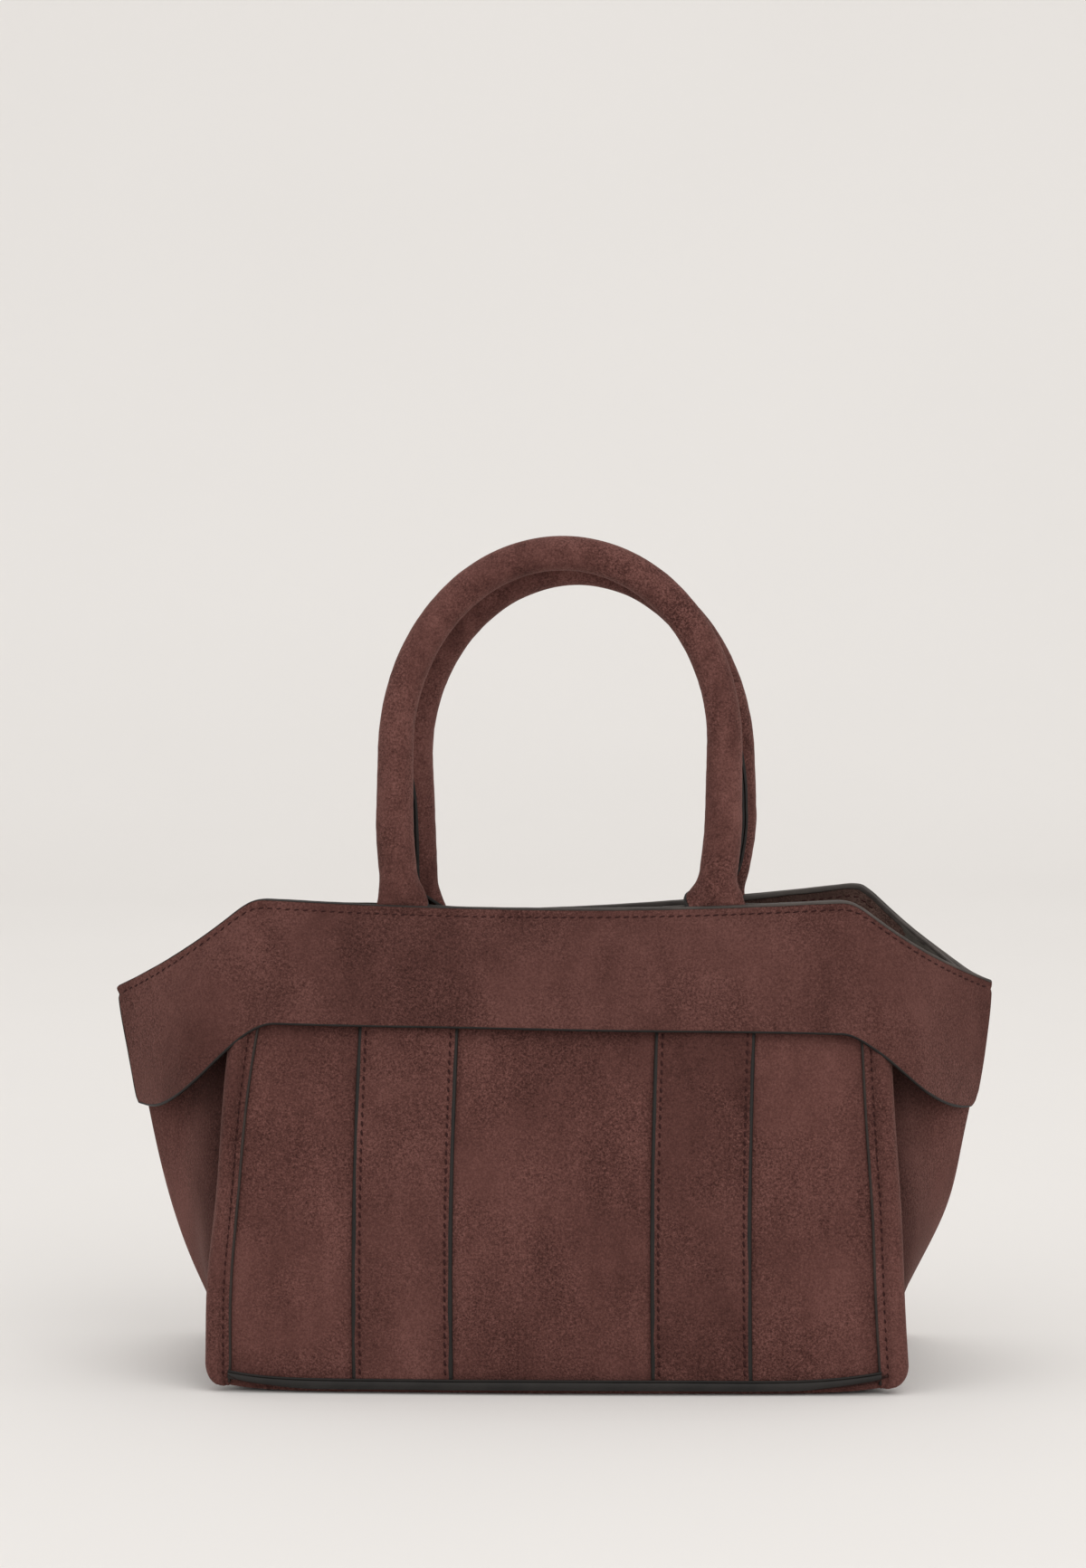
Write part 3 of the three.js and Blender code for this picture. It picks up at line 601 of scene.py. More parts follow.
def edge_paint(name, dark, light, highlit=None):
    """Charcoal edge paint: rubbery, faintly uneven, lighter in places and, if given highlit shades, lighter
    grey to the right as a painted highlight.
    """
    g = Graph(name, Specular_IOR_Level=0.30, IOR=1.45)
    rubbed = g.noise(70, 4.0, 0.65)
    uneven = g.weighted((rubbed, 0.6), (g.noise(900, 2.0, 0.6), 0.4))
    colour = g.tones(rubbed, dark, light)
    if highlit:
        # Painted highlight: the paint turns lighter grey across the bag to its right.
        colour = g.blend("MIX", g.across(*RIM_PAINT_SPAN), colour, g.tones(rubbed, *highlit))
    return g.done(uneven, 0.25, 0.0004, Base_Color=colour, Roughness=g.tones(rubbed, 0.44, 0.60, 0.3, 0.75))


def thread():
    """Dark red-brown sewing thread, twisted."""
    g = Graph("thread", Roughness=0.75, Specular_IOR_Level=0.2)
    twist = g.noise(1500, 2.0, 0.6)
    colour = g.tones(twist, (0.020, 0.0050, 0.0044), (0.044, 0.0116, 0.0100))
    return g.done(twist, 0.4, 0.0003, Base_Color=colour)


def lining_cloth():
    """Dark twill lining."""
    g = Graph("lining_cloth", Roughness=0.82, Sheen_Weight=0.1)
    rib = g.wave(420.0, 0.6, 1.0)
    mixed = g.weighted((rib, 0.45), (g.noise(30, 3.0), 0.55))
    colour = g.tones(mixed, (0.014, 0.0092, 0.0085), (0.034, 0.0225, 0.0205), 0.2, 0.8)
    return g.done(rib, 0.3, 0.0003, Base_Color=colour)


def steel():
    """Brushed snap metal."""
    g = Graph("snap_metal", Metallic=0.95)
    scratch = g.noise(700, 3.0, 0.7, 0.0, g.stretched((1, 12, 1)))
    colour = g.tones(scratch, (0.30, 0.27, 0.22), (0.44, 0.40, 0.33))
    return g.done(scratch, 0.1, 0.0002, Base_Color=colour, Roughness=g.tones(scratch, 0.28, 0.42))


def pulp_board():
    """Grey-brown pressed board."""
    g = Graph("pulp_board", Roughness=0.9)
    fibre = g.noise(260, 4.0, 0.7)
    return g.done(fibre, 0.3, 0.0004, Base_Color=g.tones(fibre, (0.16, 0.13, 0.10), (0.27, 0.22, 0.17)))


def filler_cord():
    """Pale twisted filler cord."""
    g = Graph("filler_cord", Roughness=0.9)
    lay = g.wave(160.0, 1.0)
    colour = g.tones(lay, (0.30, 0.25, 0.19), (0.48, 0.42, 0.34), 0.2, 0.8)
    return g.done(lay, 0.5, 0.0006, Base_Color=colour)


SUEDE_WALL = suede("suede_wall", (0.5, 0.3, 0.1), 1.08)
SUEDE_TRIM = suede("suede_trim", (0.31, 0.12, 0.05), 1.01, flip=-1)
# The facing's suede is a darker, greyer copy: painted shade for the inside of the rim.
SUEDE_FACING = suede("suede_facing", (0.44, 0.27, 0.19), 0.72, tint=(0.94, 1.3, 1.25))
SUEDE_COLLAR = suede("suede_collar", (0.07, 0.42, 0.26), 0.91, flip=-1)
# The wings' suede carries painted shade in the fold beside each binding.
SUEDE_WING = suede("suede_wing", (0.55, 0.18, 0.33), 0.99, patchy=0.46, fold=WING_PAINTED_SHADE_SPAN)
# The base's suede is far darker than the rest: partly a darker underside, partly painted shade for the shadow
# under the bag's foot.
SUEDE_BASE = suede("suede_base", (0.62, 0.37, 0.22), 0.26)
SUEDE_HANDLE = suede(
    "suede_handle", (0.23, 0.61, 0.48), 1.06, patchy=0.26, smudgy=0.26, tufted=0.20, napped=1.0
)
EDGE = edge_paint("edge_paint", (0.0070, 0.0056, 0.0048), (0.0155, 0.0128, 0.0110))
# Lighter grey shades for the rim's paint at the bag's right: a painted highlight.
RIM_HIGHLIT_SHADES = ((0.0380, 0.0310, 0.0275), (0.0880, 0.0740, 0.0660))
EDGE_RIM = edge_paint("edge_paint_rim", (0.0090, 0.0062, 0.0052), (0.0210, 0.0152, 0.0130), RIM_HIGHLIT_SHADES)
EDGE_BASE = edge_paint("edge_paint_base", (0.0105, 0.0090, 0.0082), (0.0235, 0.0205, 0.0188))
EDGE_WORN = edge_paint("edge_paint_worn", (0.0160, 0.0104, 0.0085), (0.0360, 0.0248, 0.0205))
# The slopes' paint is lighter than the other edge paint: painted light against the shade it lies in inside
# the rim.
EDGE_SLOPE = edge_paint("edge_paint_slope", (0.0500, 0.0430, 0.0370), (0.1150, 0.1010, 0.0880))
THREAD = thread()
LINING = lining_cloth()
FILLER = filler_cord()


def cover(node, shape, material, side=FRONT):
    """A piece of suede in place of a plain solid."""
    make(f"{node}_suede", shape, material, side, [node])


def paint(name, beads, side, material=EDGE, body="bag"):
    return make(name, joined(beads), material, side, body=body)


def sew(name, rows, side):
    make(f"{name}_stitches", joined(rows), THREAD, side)


def hand_of(side, sign):
    """The bag's left or right, for a half's own left, -1, or right, 1."""
    return "right" if sign * side.turn > 0 else "left"


def long_edges(outer, inner, half_t, wrap, swell):
    """Painted beads along the first and last columns of a sheet's two faces."""
    beads = []
    middle = (outer + inner) / 2
    for column, step in ((0, 2), (-1, -3)):
        outward = middle[:, column] - middle[:, step]
        normal = outer[:, column] - inner[:, column]
        beads.append(painted_edge(middle[:, column], outward, normal, half_t, wrap, swell))
    return beads


# Rim: collar outside, facing inside, each with its painted edge

WING_LENGTH = 52  # length of a wing's side in plan
LEFT_TIP_NIP = 1.8  # how far the left tip's lower corner is drawn in
CORNER_RADII = (2.0, 5.0)  # of the collar's lower corners at the left and right tips
COLLAR_ROWS = [0, 0.6, 1.3, 2.0, RIM_STITCH, 3.4, 4.0, 4.7, 5.6, 7, 9.2, 12, RIM_DRAW]  # below the rim
RIM_SEWN = COLLAR_ROWS.index(RIM_STITCH)
COLLAR_LIP = (0.8, 0.6, 0.25)  # depth, width and height of the roll along the slim part of the rim
COLLAR_HANG = 42  # depth below the rim from which the collar hangs free
COLLAR_RIPPLE = 0.7
CREASE_RIDGE = (96, 6, 1.1)  # place, width and height of a ridge at a corner of the collar
CREASE_DENT = (107, 5, 1.6)  # the same for the dent beside it
FACING_ROWS = [0, 0.6, 1.3, 2.2, 3.2, FACING_STITCH, 4.6, 5.5, 7, 9, 11, 13, 16, 20, 25, 30, FACING_DEPTH]
FACING_SEWN = FACING_ROWS.index(FACING_STITCH)
SEWN_SHARE = 0.8  # of a sheet's thickness that is left where it is sewn
SLOPE_START = 0.66  # place along the rim where its slopes start
SLOPE_RIDGES = [0.34, 0.10, 0.40, 0.10, 0.32, 0.05]  # of the slopes' paint on the facing's first rows
RIM_WRAPS = (0.05, 0.55)  # how far the paint wraps over the collar at the bag's left and right
RIM_SWELLS = (0.12, 0.32)  # how far it stands out from the collar there
RIM_BEAD = 0.38  # how far it stands above the rim
FACING_WRAP = 1.4
FACING_SWELL = 0.2
FREE_HALF_T = (0.4, COLLAR_T * 0.4 + 0.18)  # of the paint on the collar's free edge, hidden and shown
FREE_WRAPS = (0.05, 0.40)
FREE_SWELLS = (-0.05, 0.37)
TAB_SPREAD = (8, 21)  # from the middle of a handle's tab, where the rim that it spreads closes again

# A handle: shift and skew move its legs and its top to its own right, half_flats are half the flat fronts of
# its left and right tabs, and insets move its left and right feet towards each other.
Roll = namedtuple("Roll", "shift half_span rise skew half_flats insets")
ROLLS = {
    FRONT: Roll(-0.6, 56.0, HANDLE_RISE, 0.7, (6.4, 8.9), (2.3, 2.7)),
    BACK: Roll(-5.7, 55.4, HANDLE_RISE - 2.7, -3.3, (4.8, 6.8), (4.6, 0.4)),
}


def rim_out(u):
    """Outside of the sewn rim: drawn in across the wall, full out along the wings."""
    return lerp(RIM_OUT, COLLAR_OUT, smoothstep(np.abs(u), CORNER_START - 0.06, CORNER_END + 0.06))


def tab_room(side, x):
    """1 where a handle's tab spreads the sewn rim, falling to 0 beside it."""
    roll = ROLLS[side]
    legs = [roll.shift - roll.half_span + roll.insets[0], roll.shift + roll.half_span - roll.insets[1]]
    return sum(1 - smoothstep(np.abs(x - leg), *TAB_SPREAD) for leg in legs)


def rim_columns():
    half = spans((0, CORNER_START, 104), (CORNER_START, CORNER_END, 28), (CORNER_END, 1, 46))
    return np.concatenate([-half[:0:-1], half])


def collar_surface(side):
    """Outer and inner grids of a collar, rows from the rim down."""
    u = rim_columns()
    top = settle(side, u, rim_line, RIM_HEIGHT)
    low = settle(side, u, collar_edge, COLLAR_BOTTOM)
    reach = (1 - np.abs(u)) / (1 - CORNER_END) * WING_LENGTH
    corner = np.where(u * side.turn < 0, *CORNER_RADII)
    low = low + corner - np.sqrt(np.maximum(0, corner**2 - np.maximum(0, corner - reach) ** 2))
    drawn = np.array(COLLAR_ROWS)[:, None] + 0 * u
    hung = lerp(top - RIM_DRAW, low, np.linspace(0, 1, 17)[1:, None])
    z = np.concatenate([top - drawn, hung])
    depth = np.concatenate([drawn, top - hung])
    u = np.broadcast_to(u, z.shape)
    x = collar_plan(side, u, z, COLLAR_OUT)[0]
    hang = smoothstep(depth, RIM_DRAW, COLLAR_HANG)
    out = lerp(rim_out(u), COLLAR_OUT, smoothstep(depth, 0.5, RIM_DRAW))
    out = out + bump(depth, *COLLAR_LIP) * (1 - to_right(side, x)) - pucker(depth - RIM_STITCH, x)
    out = out + hang * (0.5 + COLLAR_RIPPLE * ripple(x, z, side.seed + 20, 60, 150))
    out = out + bump(x, *CREASE_RIDGE) * hang - bump(x, *CREASE_DENT) * smoothstep(depth, 4, 25)
    at_left = smoothstep(-u * side.turn, CORNER_END, 1) * smoothstep(TIP_TOP - z, 0, TIP_TOP - TIP_BOTTOM)
    shift = sway(side, u) + side.turn * LEFT_TIP_NIP * at_left

    def face(offset):
        x, y = collar_plan(side, u, z, out - offset)
        return xyz(x + shift, y, z)

    return face(0), face(COLLAR_T * SEWN_SHARE)


def facing_surface(side):
    """Inner and outer grids of a facing, rows from the rim down."""
    u = rim_columns()
    top = settle(side, u, rim_line, RIM_HEIGHT)
    depth = np.array(FACING_ROWS)[:, None] + 0 * u
    z = top[None, :] - depth
    u = np.broadcast_to(u, z.shape)
    drawn = 1 - smoothstep(depth, 0.5, RIM_DRAW + 2)
    middle = collar_plan(side, u, z, 0)[0] + sway(side, u)
    rim_t = lerp(RIM_T, TAB_RIM_T, tab_room(side, middle))

    def face(offset):
        beside = 2 * LINING_EASE + LINING_T + FACING_T - offset
        loose_x, loose_y = inside_plan(side, u, z, FACING_IN - offset, beside)
        sewn = rim_out(u) - rim_t + offset + pucker(depth - FACING_STITCH, loose_x)
        sewn_x, sewn_y = collar_plan(side, u, z, sewn)
        x = lerp(loose_x, sewn_x, drawn) + sway(side, u)
        return xyz(x, lerp(loose_y, sewn_y, drawn), z)

    return face(0), face(FACING_T * SEWN_SHARE)


def top_edge(outer, inner, wrap, swell):
    """Painted edge along the first rows of a sheet's two faces."""
    normal = outer[0] - inner[0]
    half_t = np.linalg.norm(normal, axis=1).mean() / 2 + swell
    return painted_edge((outer[0] + inner[0]) / 2, outer[0] - outer[3], normal, half_t, wrap, RIM_BEAD)


def to_right(side, x):
    """0 at the bag's left and 1 at its right, for what changes along the painted rim."""
    return smoothstep(x * side.turn, *RIM_PAINT_SPAN)


def painted_slopes(facing_in):
    """Paint that runs on down the inside of the rim along both slopes, with a ridge at each layer."""
    u = rim_columns()
    normals = grid_normals(facing_in)
    ridges = np.array(SLOPE_RIDGES)[:, None]
    rows = np.arange(len(ridges))[:, None]
    bands = []
    for columns in (u < -SLOPE_START, u > SLOPE_START):
        reached = len(ridges) * smoothstep(np.abs(u[columns]), SLOPE_START, SLOPE_START + 0.07)
        lift = lerp(-0.2, ridges, np.clip(reached - rows, 0, 1))[..., None]
        face = facing_in[:len(ridges), columns]
        out = normals[:len(ridges), columns]
        bands.append(slab(face + lift * out, face - 0.4 * out))
    return bands


def free_edge(grid, back=0):
    """A collar's points down one end, along its foot and up the other end, or so many points further in."""
    ends = grid[RIM_SEWN:-1]
    return np.concatenate([ends[:, back], grid[-1 - back], ends[::-1, -1 - back]])


def build_rim(side):
    name = side.name
    outer, inner = collar_surface(side)
    cover(f"{name}_collar", slab(outer, inner), SUEDE_COLLAR, side)
    lined, hidden = facing_surface(side)
    cover(f"{name}_facing", slab(lined, hidden), SUEDE_FACING, side)

    across = to_right(side, outer[0, :, :1])
    beads = [top_edge(outer, inner, lerp(*RIM_WRAPS, across), lerp(*RIM_SWELLS, across))]
    beads.append(top_edge(lined, hidden, FACING_WRAP, FACING_SWELL))
    paint(f"{name}_rim_edge", beads, side, EDGE_RIM)

    # At the right tip the suede is folded over, so the paint there lies below its surface.
    path = (free_edge(outer) + free_edge(inner)) / 2
    end_rows = len(outer) - RIM_SEWN - 1
    from_right = np.arange(len(path))[::-side.turn]
    shown = smoothstep(from_right, end_rows - 4, end_rows + 8)[:, None]
    sizes = [lerp(*ends, shown) for ends in (FREE_HALF_T, FREE_WRAPS, FREE_SWELLS)]
    outward, normal = free_edge(outer) - free_edge(outer, 2), free_edge(outer) - free_edge(inner)
    paint(f"{name}_collar_edge", [painted_edge(path, outward, normal, *sizes)], side)
    paint(f"{name}_slope_paint", painted_slopes(lined), side, EDGE_SLOPE)

    up = grid_normals(outer)[RIM_SEWN, 3:-3] * -1
    sew(f"{name}_collar", [stitch_row(outer[RIM_SEWN, 3:-3], up, RIM_STITCH_R)], side)
    level = np.abs(rim_columns()) < SLOPE_START
    up = grid_normals(lined)[FACING_SEWN, level]
    sew(f"{name}_facing", [stitch_row(lined[FACING_SEWN, level], up, RIM_STITCH_R)], side)


# Walls

PANEL_TOP_DROP = 17  # how far the panel's hidden end stops below the rim
PANEL_INSET = 1.6  # its sides from the wall's edges
PANEL_MIDDLE = 70  # height at which its lower corners are measured


def seam_pillow(x):
    """Fullness of the wall between its sewn lines."""
    inner = np.maximum(0, 1 - (x / STRIP_INNER_X) ** 2)
    mid = (STRIP_INNER_X + STRIP_WIDTH + BASE_HALF_WIDTH - BINDING_WIDTH) / 2
    half = (BASE_HALF_WIDTH - BINDING_WIDTH - STRIP_INNER_X - STRIP_WIDTH) / 2
    outer = np.maximum(0, 1 - ((np.abs(x) - mid) / half) ** 2)
    return 0.55 * inner + 0.45 * outer


def wall_points(side, x, z, out):
    """Points on a wall, which leans a little to one side."""
    lean = lerp(*WALL_LEAN, z / WALL_LEAN_HEIGHT)
    return xyz(x + lean, -(wall_depth(side, x, z) + out), z)


def build_panel(side):
    f = np.linspace(-1, 1, 150)
    rows = np.linspace(0, 1, 80)[:, None]
    x = f[None, :] * (half_width(PANEL_MIDDLE) - PANEL_INSET)
    # The lower corners are cut away behind the bindings' rounded feet.
    behind = np.maximum(0, np.abs(x) - (half_width(PANEL_MIDDLE) - BINDING_WIDTH))
    low = base_lift(x) + SEAM_GAP + 0.1 * behind**2
    high = rim_line(side, x) - PANEL_TOP_DROP
    z = lerp(low, high, rows)
    x = f[None, :] * (half_width(z) - PANEL_INSET)
    out = PANEL_T + seam_pillow(x) * smoothstep(z, 4, 18) + 0.12 * ripple(x, z, side.seed + 40, 9, 26)
    shape = slab(wall_points(side, x, z, out), wall_points(side, x, z, 0.2))
    cover(f"{side.name}_panel", shape, SUEDE_WALL, side)


STRIP_MARGIN = [0, 0.45, 0.9, 1.3, 1.7, STRIP_STITCH, 2.6, 3.0, 3.5, 4.2, 5.4, 7.5, 10, 13]  # from its edges
STRIP_SEWN = STRIP_MARGIN.index(STRIP_STITCH)
STRIP_OUT = 3.25  # its face from the inside of the panel
STRIP_CROWN = 0.5
STRIP_FOOT = PIPING_LOW + PIPING_HEIGHT - 0.6  # it ends behind the painted base edge
STRIP_BOW_HEIGHT = 135
STRIP_WRAPS = (1.1, 0.6)  # how far its paint wraps over it at the foot and at the top


def strip_shift(side, z):
    """The strips bow a little to one side at mid height."""
    return STRIP_SHIFT - side.turn * STRIP_BOW * np.sin(math.pi * between(z, 0, STRIP_BOW_HEIGHT))


def build_strip(side, sign):
    name = f"{side.name}_strip_{hand_of(side, sign)}"
    margin = np.array(STRIP_MARGIN)
    across = np.concatenate([margin, STRIP_WIDTH - margin[::-1]])
    middle = sign * (STRIP_INNER_X + STRIP_WIDTH / 2)
    rows = np.linspace(0, 1, 150)[:, None]
    x0 = middle - STRIP_WIDTH / 2 + across[None, :]
    z = lerp(base_lift(x0) + STRIP_FOOT, rim_line(side, x0) - PANEL_TOP_DROP, rows)
    x = x0 + strip_shift(side, z)
    from_edge = np.minimum(across, STRIP_WIDTH - across)[None, :]
    crown = STRIP_CROWN * smoothstep(from_edge, STRIP_STITCH, 12)
    crown = crown + 0.15 * ripple(x, z, side.seed + 50 + sign, 12, 40)
    out = STRIP_OUT + crown - 0.25 * (1 - smoothstep(from_edge, 0, 1.2)) - pucker(from_edge - STRIP_STITCH, z)
    outer = wall_points(side, x, z, out)
    inner = wall_points(side, x, z, PANEL_T - 0.1)
    cover(name, slab(outer, inner), SUEDE_TRIM, side)
    beads = long_edges(outer, inner, half_t=0.95, wrap=lerp(*STRIP_WRAPS, rows), swell=0.5)
    paint(f"{name}_edges", beads, side)
    normals = grid_normals(outer)
    columns = (STRIP_SEWN, -1 - STRIP_SEWN)
    sew(name, [stitch_row(outer[2:, k], normals[2:, k]) for k in columns], side)


# Distance in from the binding's outer edge, and distance out from the panel's inside face
BINDING_OUTLINE = [
    (9.7, 1.75), (9.7, 2.5), (9.2, 2.95), (8.5, 3.05), (7.8, 3.1), (7.3, 2.95), (6.9, 2.70), (6.5, 3.0),
    (5.9, 3.7), (4.9, 4.5), (3.7, 5.0), (2.5, 5.0), (1.4, 4.5), (0.6, 3.7), (0.05, 2.7), (-0.2, 1.6),
    (-0.2, 0.3), (0.0, -0.9), (0.5, -1.9), (1.3, -2.7), (2.4, -3.2), (4.0, -3.4), (6.0, -3.3), (7.0, -3.0),
    (7.0, -2.2), (4.0, -2.1), (2.0, -1.8), (1.3, -0.8), (1.2, 0.4), (1.3, 1.4), (2.0, 1.7),
]
BINDING_SEWN = 6  # its point at the stitches
BINDING_FLAT = 3.1  # how far out its sewn margin lies, inside its rolled edge
BINDING_MIDDLE = 0.6  # depth towards which its foot flattens
BINDING_FOOT_ROWS = [0, 0.5, 1.2, 2, 3, 4.2, 5.6, 7.2]  # heights above its foot
BINDING_CORNER = 8  # radius of the foot's outer corner
LEFT_BINDING_BOW = 2.2  # how far the inner edge of a left binding bows out at mid height
LEFT_FOOT_TUCK = 1.4  # how far the outer edge of its foot is drawn in


def build_binding(side, sign):
    hand = hand_of(side, sign)
    name = f"{side.name}_binding_{hand}"
    inset, out = np.array(BINDING_OUTLINE).T
    foot = base_lift(BASE_HALF_WIDTH - FLANGE) - 0.5
    heights = [foot + np.array(BINDING_FOOT_ROWS), np.linspace(foot + 9, BINDING_TOP, 118)]
    z = np.concatenate(heights)[:, None]
    above = np.clip((z - foot) / BINDING_CORNER, 0, 1)
    shrink = BINDING_CORNER * (1 - np.sqrt(np.maximum(0, 1 - (1 - above) ** 2)))
    full = np.clip((BINDING_WIDTH - 0.8 * shrink) / BINDING_WIDTH, 0.1, 1)
    inset = BINDING_WIDTH - (BINDING_WIDTH - inset[None, :]) * full
    puff = 1 + 0.09 * ripple(z, 0 * z + 30 * sign, side.seed + 60, 14, 50)
    swollen = np.where(out > BINDING_FLAT, BINDING_FLAT + (out - BINDING_FLAT) * puff, out[None, :] + 0 * z)
    by_stitches = np.abs(np.arange(len(out)) - BINDING_SEWN)[None, :] < 2
    swollen = swollen - 0.16 * by_stitches * np.cos(2 * math.pi * z / STITCH_PITCH)
    thick = lerp(0.55, 1, np.sqrt(np.clip((z - foot) / 4, 0, 1)))
    swollen = BINDING_MIDDLE + (swollen - BINDING_MIDDLE) * thick
    x = half_width(z) - inset + 0.35 * ripple(z, 0 * z, side.seed + 70 + sign, 30, 90)
    if hand == "left":
        x = x + LEFT_BINDING_BOW * np.sin(math.pi * between(z, 10, 125)) * inset / BINDING_WIDTH
        x = x - LEFT_FOOT_TUCK * (1 - smoothstep(z, 4, 45)) * (1 - inset / BINDING_WIDTH)
    points = wall_points(side, sign * x, z, swollen)
    cover(name, loft(points), SUEDE_TRIM, side)
    back, front, within = (points[2:, k] for k in (0, 1, 4))
    middle = (front + back) / 2
    bead = painted_edge(middle, front - within, front - back, half_t=0.85, wrap=0.5, swell=0.45)
    paint(f"{name}_edge", [bead], side, EDGE_WORN)
    path = points[4:, BINDING_SEWN]
    before, after = points[4:, BINDING_SEWN - 3], points[4:, BINDING_SEWN + 2]
    up = unit(np.cross(tangents(path), after - before)) * -sign
    sew(name, [stitch_row(path, up)], side)


PIPING_RISES = (0.2, 0.6)  # of the painted base edge above the base, at the bag's left and right corners
PIPING_TURN = (80, 107)  # from the middle, where it rises towards the corners
PIPING_SLIM = 0.28  # share of its height that it loses there
SEAM_SHADE_R = 0.42
SEAM_SHADE_OUT = 4.15  # from the inside face of the panel


def piping_rise(side, x):
    """How far the painted base edge leaves the base towards the bag's left and right corners."""
    return np.where(x * side.turn < 0, *PIPING_RISES) * smoothstep(np.abs(x), *PIPING_TURN)


def build_piping(side):
    end = half_width(PIPING_HEIGHT) - BINDING_WIDTH + 0.4
    x = np.linspace(-end, end, 130)[:, None]
    turns = np.linspace(0, 2 * math.pi, 17)[:-1]
    squared = lambda v: np.sign(v) * np.abs(v) ** 0.55
    out = PIPING_OUT + PIPING_DEPTH / 2 * (1 + squared(np.cos(turns)))[None, :]
    slim = 1 - PIPING_SLIM * smoothstep(np.abs(x), PIPING_TURN[0], end)
    z = PIPING_LOW + PIPING_HEIGHT / 2 * (1 + squared(np.sin(turns)) * slim) + 0 * x
    lift = base_lift(x) + piping_rise(side, x) + 0.12 * ripple(x, 0 * x, side.seed + 80, 25, 70)
    z = z + lift
    points = wall_points(side, x, z, out)
    name = f"{side.name}_base"
    make(f"{name}_piping_paint", loft(points), EDGE_BASE, side, [f"{name}_piping"])
    # A black bead lies in the groove between the painted edge and the wall above it: the seam there, drawn
    # black as painted shade for the groove's shadow.
    top = z.max(axis=1, keepdims=True) + SEAM_SHADE_R * 0.7
    up, forward = SEAM_SHADE_R * np.sin(turns), SEAM_SHADE_R * np.cos(turns)
    paint(f"{name}_seam", [loft(wall_points(side, x, top + up, SEAM_SHADE_OUT + forward))], side)


# Gussets

FLANGE_END = 0.1  # share of a gusset's half that is its flange
BEND_END = 0.22  # share at which the bend behind the binding ends
GUSSET_TOP = TIP_BOTTOM + 30
GUSSET_FULLNESS = 3.2
WING_TUCK = {-1: 4.6, 1: 1.4}  # how far the outer fold draws in under the collar, left and right
WING_TUCK_SPAN = (32, 105)  # heights over which it does so
WING_FULLNESS = {-1: 0.0, 1: 2.4}  # how far it swells out below
WING_SWELL = (56, 20)  # middle and width, in height, of that swelling
COLLAR_TUCK = 3  # how much more it draws in behind the collar
COLLAR_TUCK_SPAN = (90, 102)
RECESS_PLACE = (0.13, 0.11)  # middle and width of the dip beside the binding, as shares of the gusset
RECESS_SPAN = (40, 90)  # heights over which it deepens
GUSSET_FOOT = 2.2
FLANGE_RISE = 6.5  # how much higher its flange ends


def gusset_half(side, t, z, sign):
    """The gusset's middle surface from its flange, t 0, round the bend to the outer fold, t 1."""
    bend, leave, _, _ = gusset_line(side, z)
    tucked = WING_TUCK[sign] * smoothstep(z, *WING_TUCK_SPAN) + COLLAR_TUCK * smoothstep(z, *COLLAR_TUCK_SPAN)
    tucked = tucked - WING_FULLNESS[sign] * bump(z, *WING_SWELL)
    keel = np.stack([wing_reach(z) - tucked - GUSSET_T / 2 + sign * TIP_SWAY, 0 * z])
    edge = half_width(z) - 2.2
    radius = BEND_R - GUSSET_T / 2
    flange = np.stack([edge, -wall_depth(side, edge, z) + SEAM_GAP + GUSSET_T / 2])
    root = np.stack([bend[0], bend[1] - radius])
    bent = bend + radius * around(lerp(-math.pi / 2, leave, between(t, FLANGE_END, BEND_END)))
    start = bend + radius * around(leave)
    heading = (keel - start) / np.linalg.norm(keel - start, axis=0)
    f = between(t, BEND_END, 1)
    full = GUSSET_FULLNESS * np.sin(math.pi * f) ** 1.5 * smoothstep(z, 6, 45)
    full = full - GUSSET_RECESS * bump(f, *RECESS_PLACE) * smoothstep(z, *RECESS_SPAN)
    straight = lerp(start, keel, f) + np.stack([heading[1], -heading[0]]) * full
    flat = lerp(flange, root, between(t, 0, FLANGE_END))
    return np.where(t < FLANGE_END, flat, np.where(t < BEND_END, bent, straight))


def build_gusset(sign):
    name = f"{hand_of(FRONT, sign)}_gusset"
    t = spans((0, FLANGE_END, 4), (FLANGE_END, BEND_END, 9), (BEND_END, 1, 40))
    rows = np.linspace(0, 1, 76)[:, None]
    low = GUSSET_FOOT + FLANGE_RISE * (1 - smoothstep(t, 0.02, 0.2))[None, :]
    z = lerp(low, GUSSET_TOP, rows)
    f = between(t, BEND_END, 1)[None, :]
    halves = []
    for side in SIDES:
        own = sign * side.turn
        flat = gusset_half(side, np.broadcast_to(t, z.shape), z, sign)
        seed = side.seed + 90 + own
        folds = GUSSET_RIPPLE * ripple(f * 45, z * 0.55, seed, 22, 60) * np.sin(math.pi * f)
        points = xyz(own * flat[0], flat[1], z)
        normals = grid_normals(points) * own
        points = points + normals * folds[..., None] * smoothstep(z, 4, 25)[..., None]
        halves.append(turned(points, side))
    middle = np.concatenate([halves[0], halves[1][:, -2::-1]], axis=1)
    normals = grid_normals(middle)
    shape = slab(middle + normals * GUSSET_T / 2, middle - normals * GUSSET_T / 2)
    cover(name, shape, SUEDE_WING)


# Base and lining

BASE_BORDER = (0.80, 0.975)  # shares of its half depth between which the base curves up to its painted edge
BASE_INSET = 8.5  # its ends from the wall's edges
BASE_PAST_WALL = (3.6, 4.7)  # how far it reaches past the walls' inside, in the middle and at its corners
FLOOR_RINGS = (0.85, 0.6, 0.35, 0.12)  # shares of the lining's foot at which its floor has rings


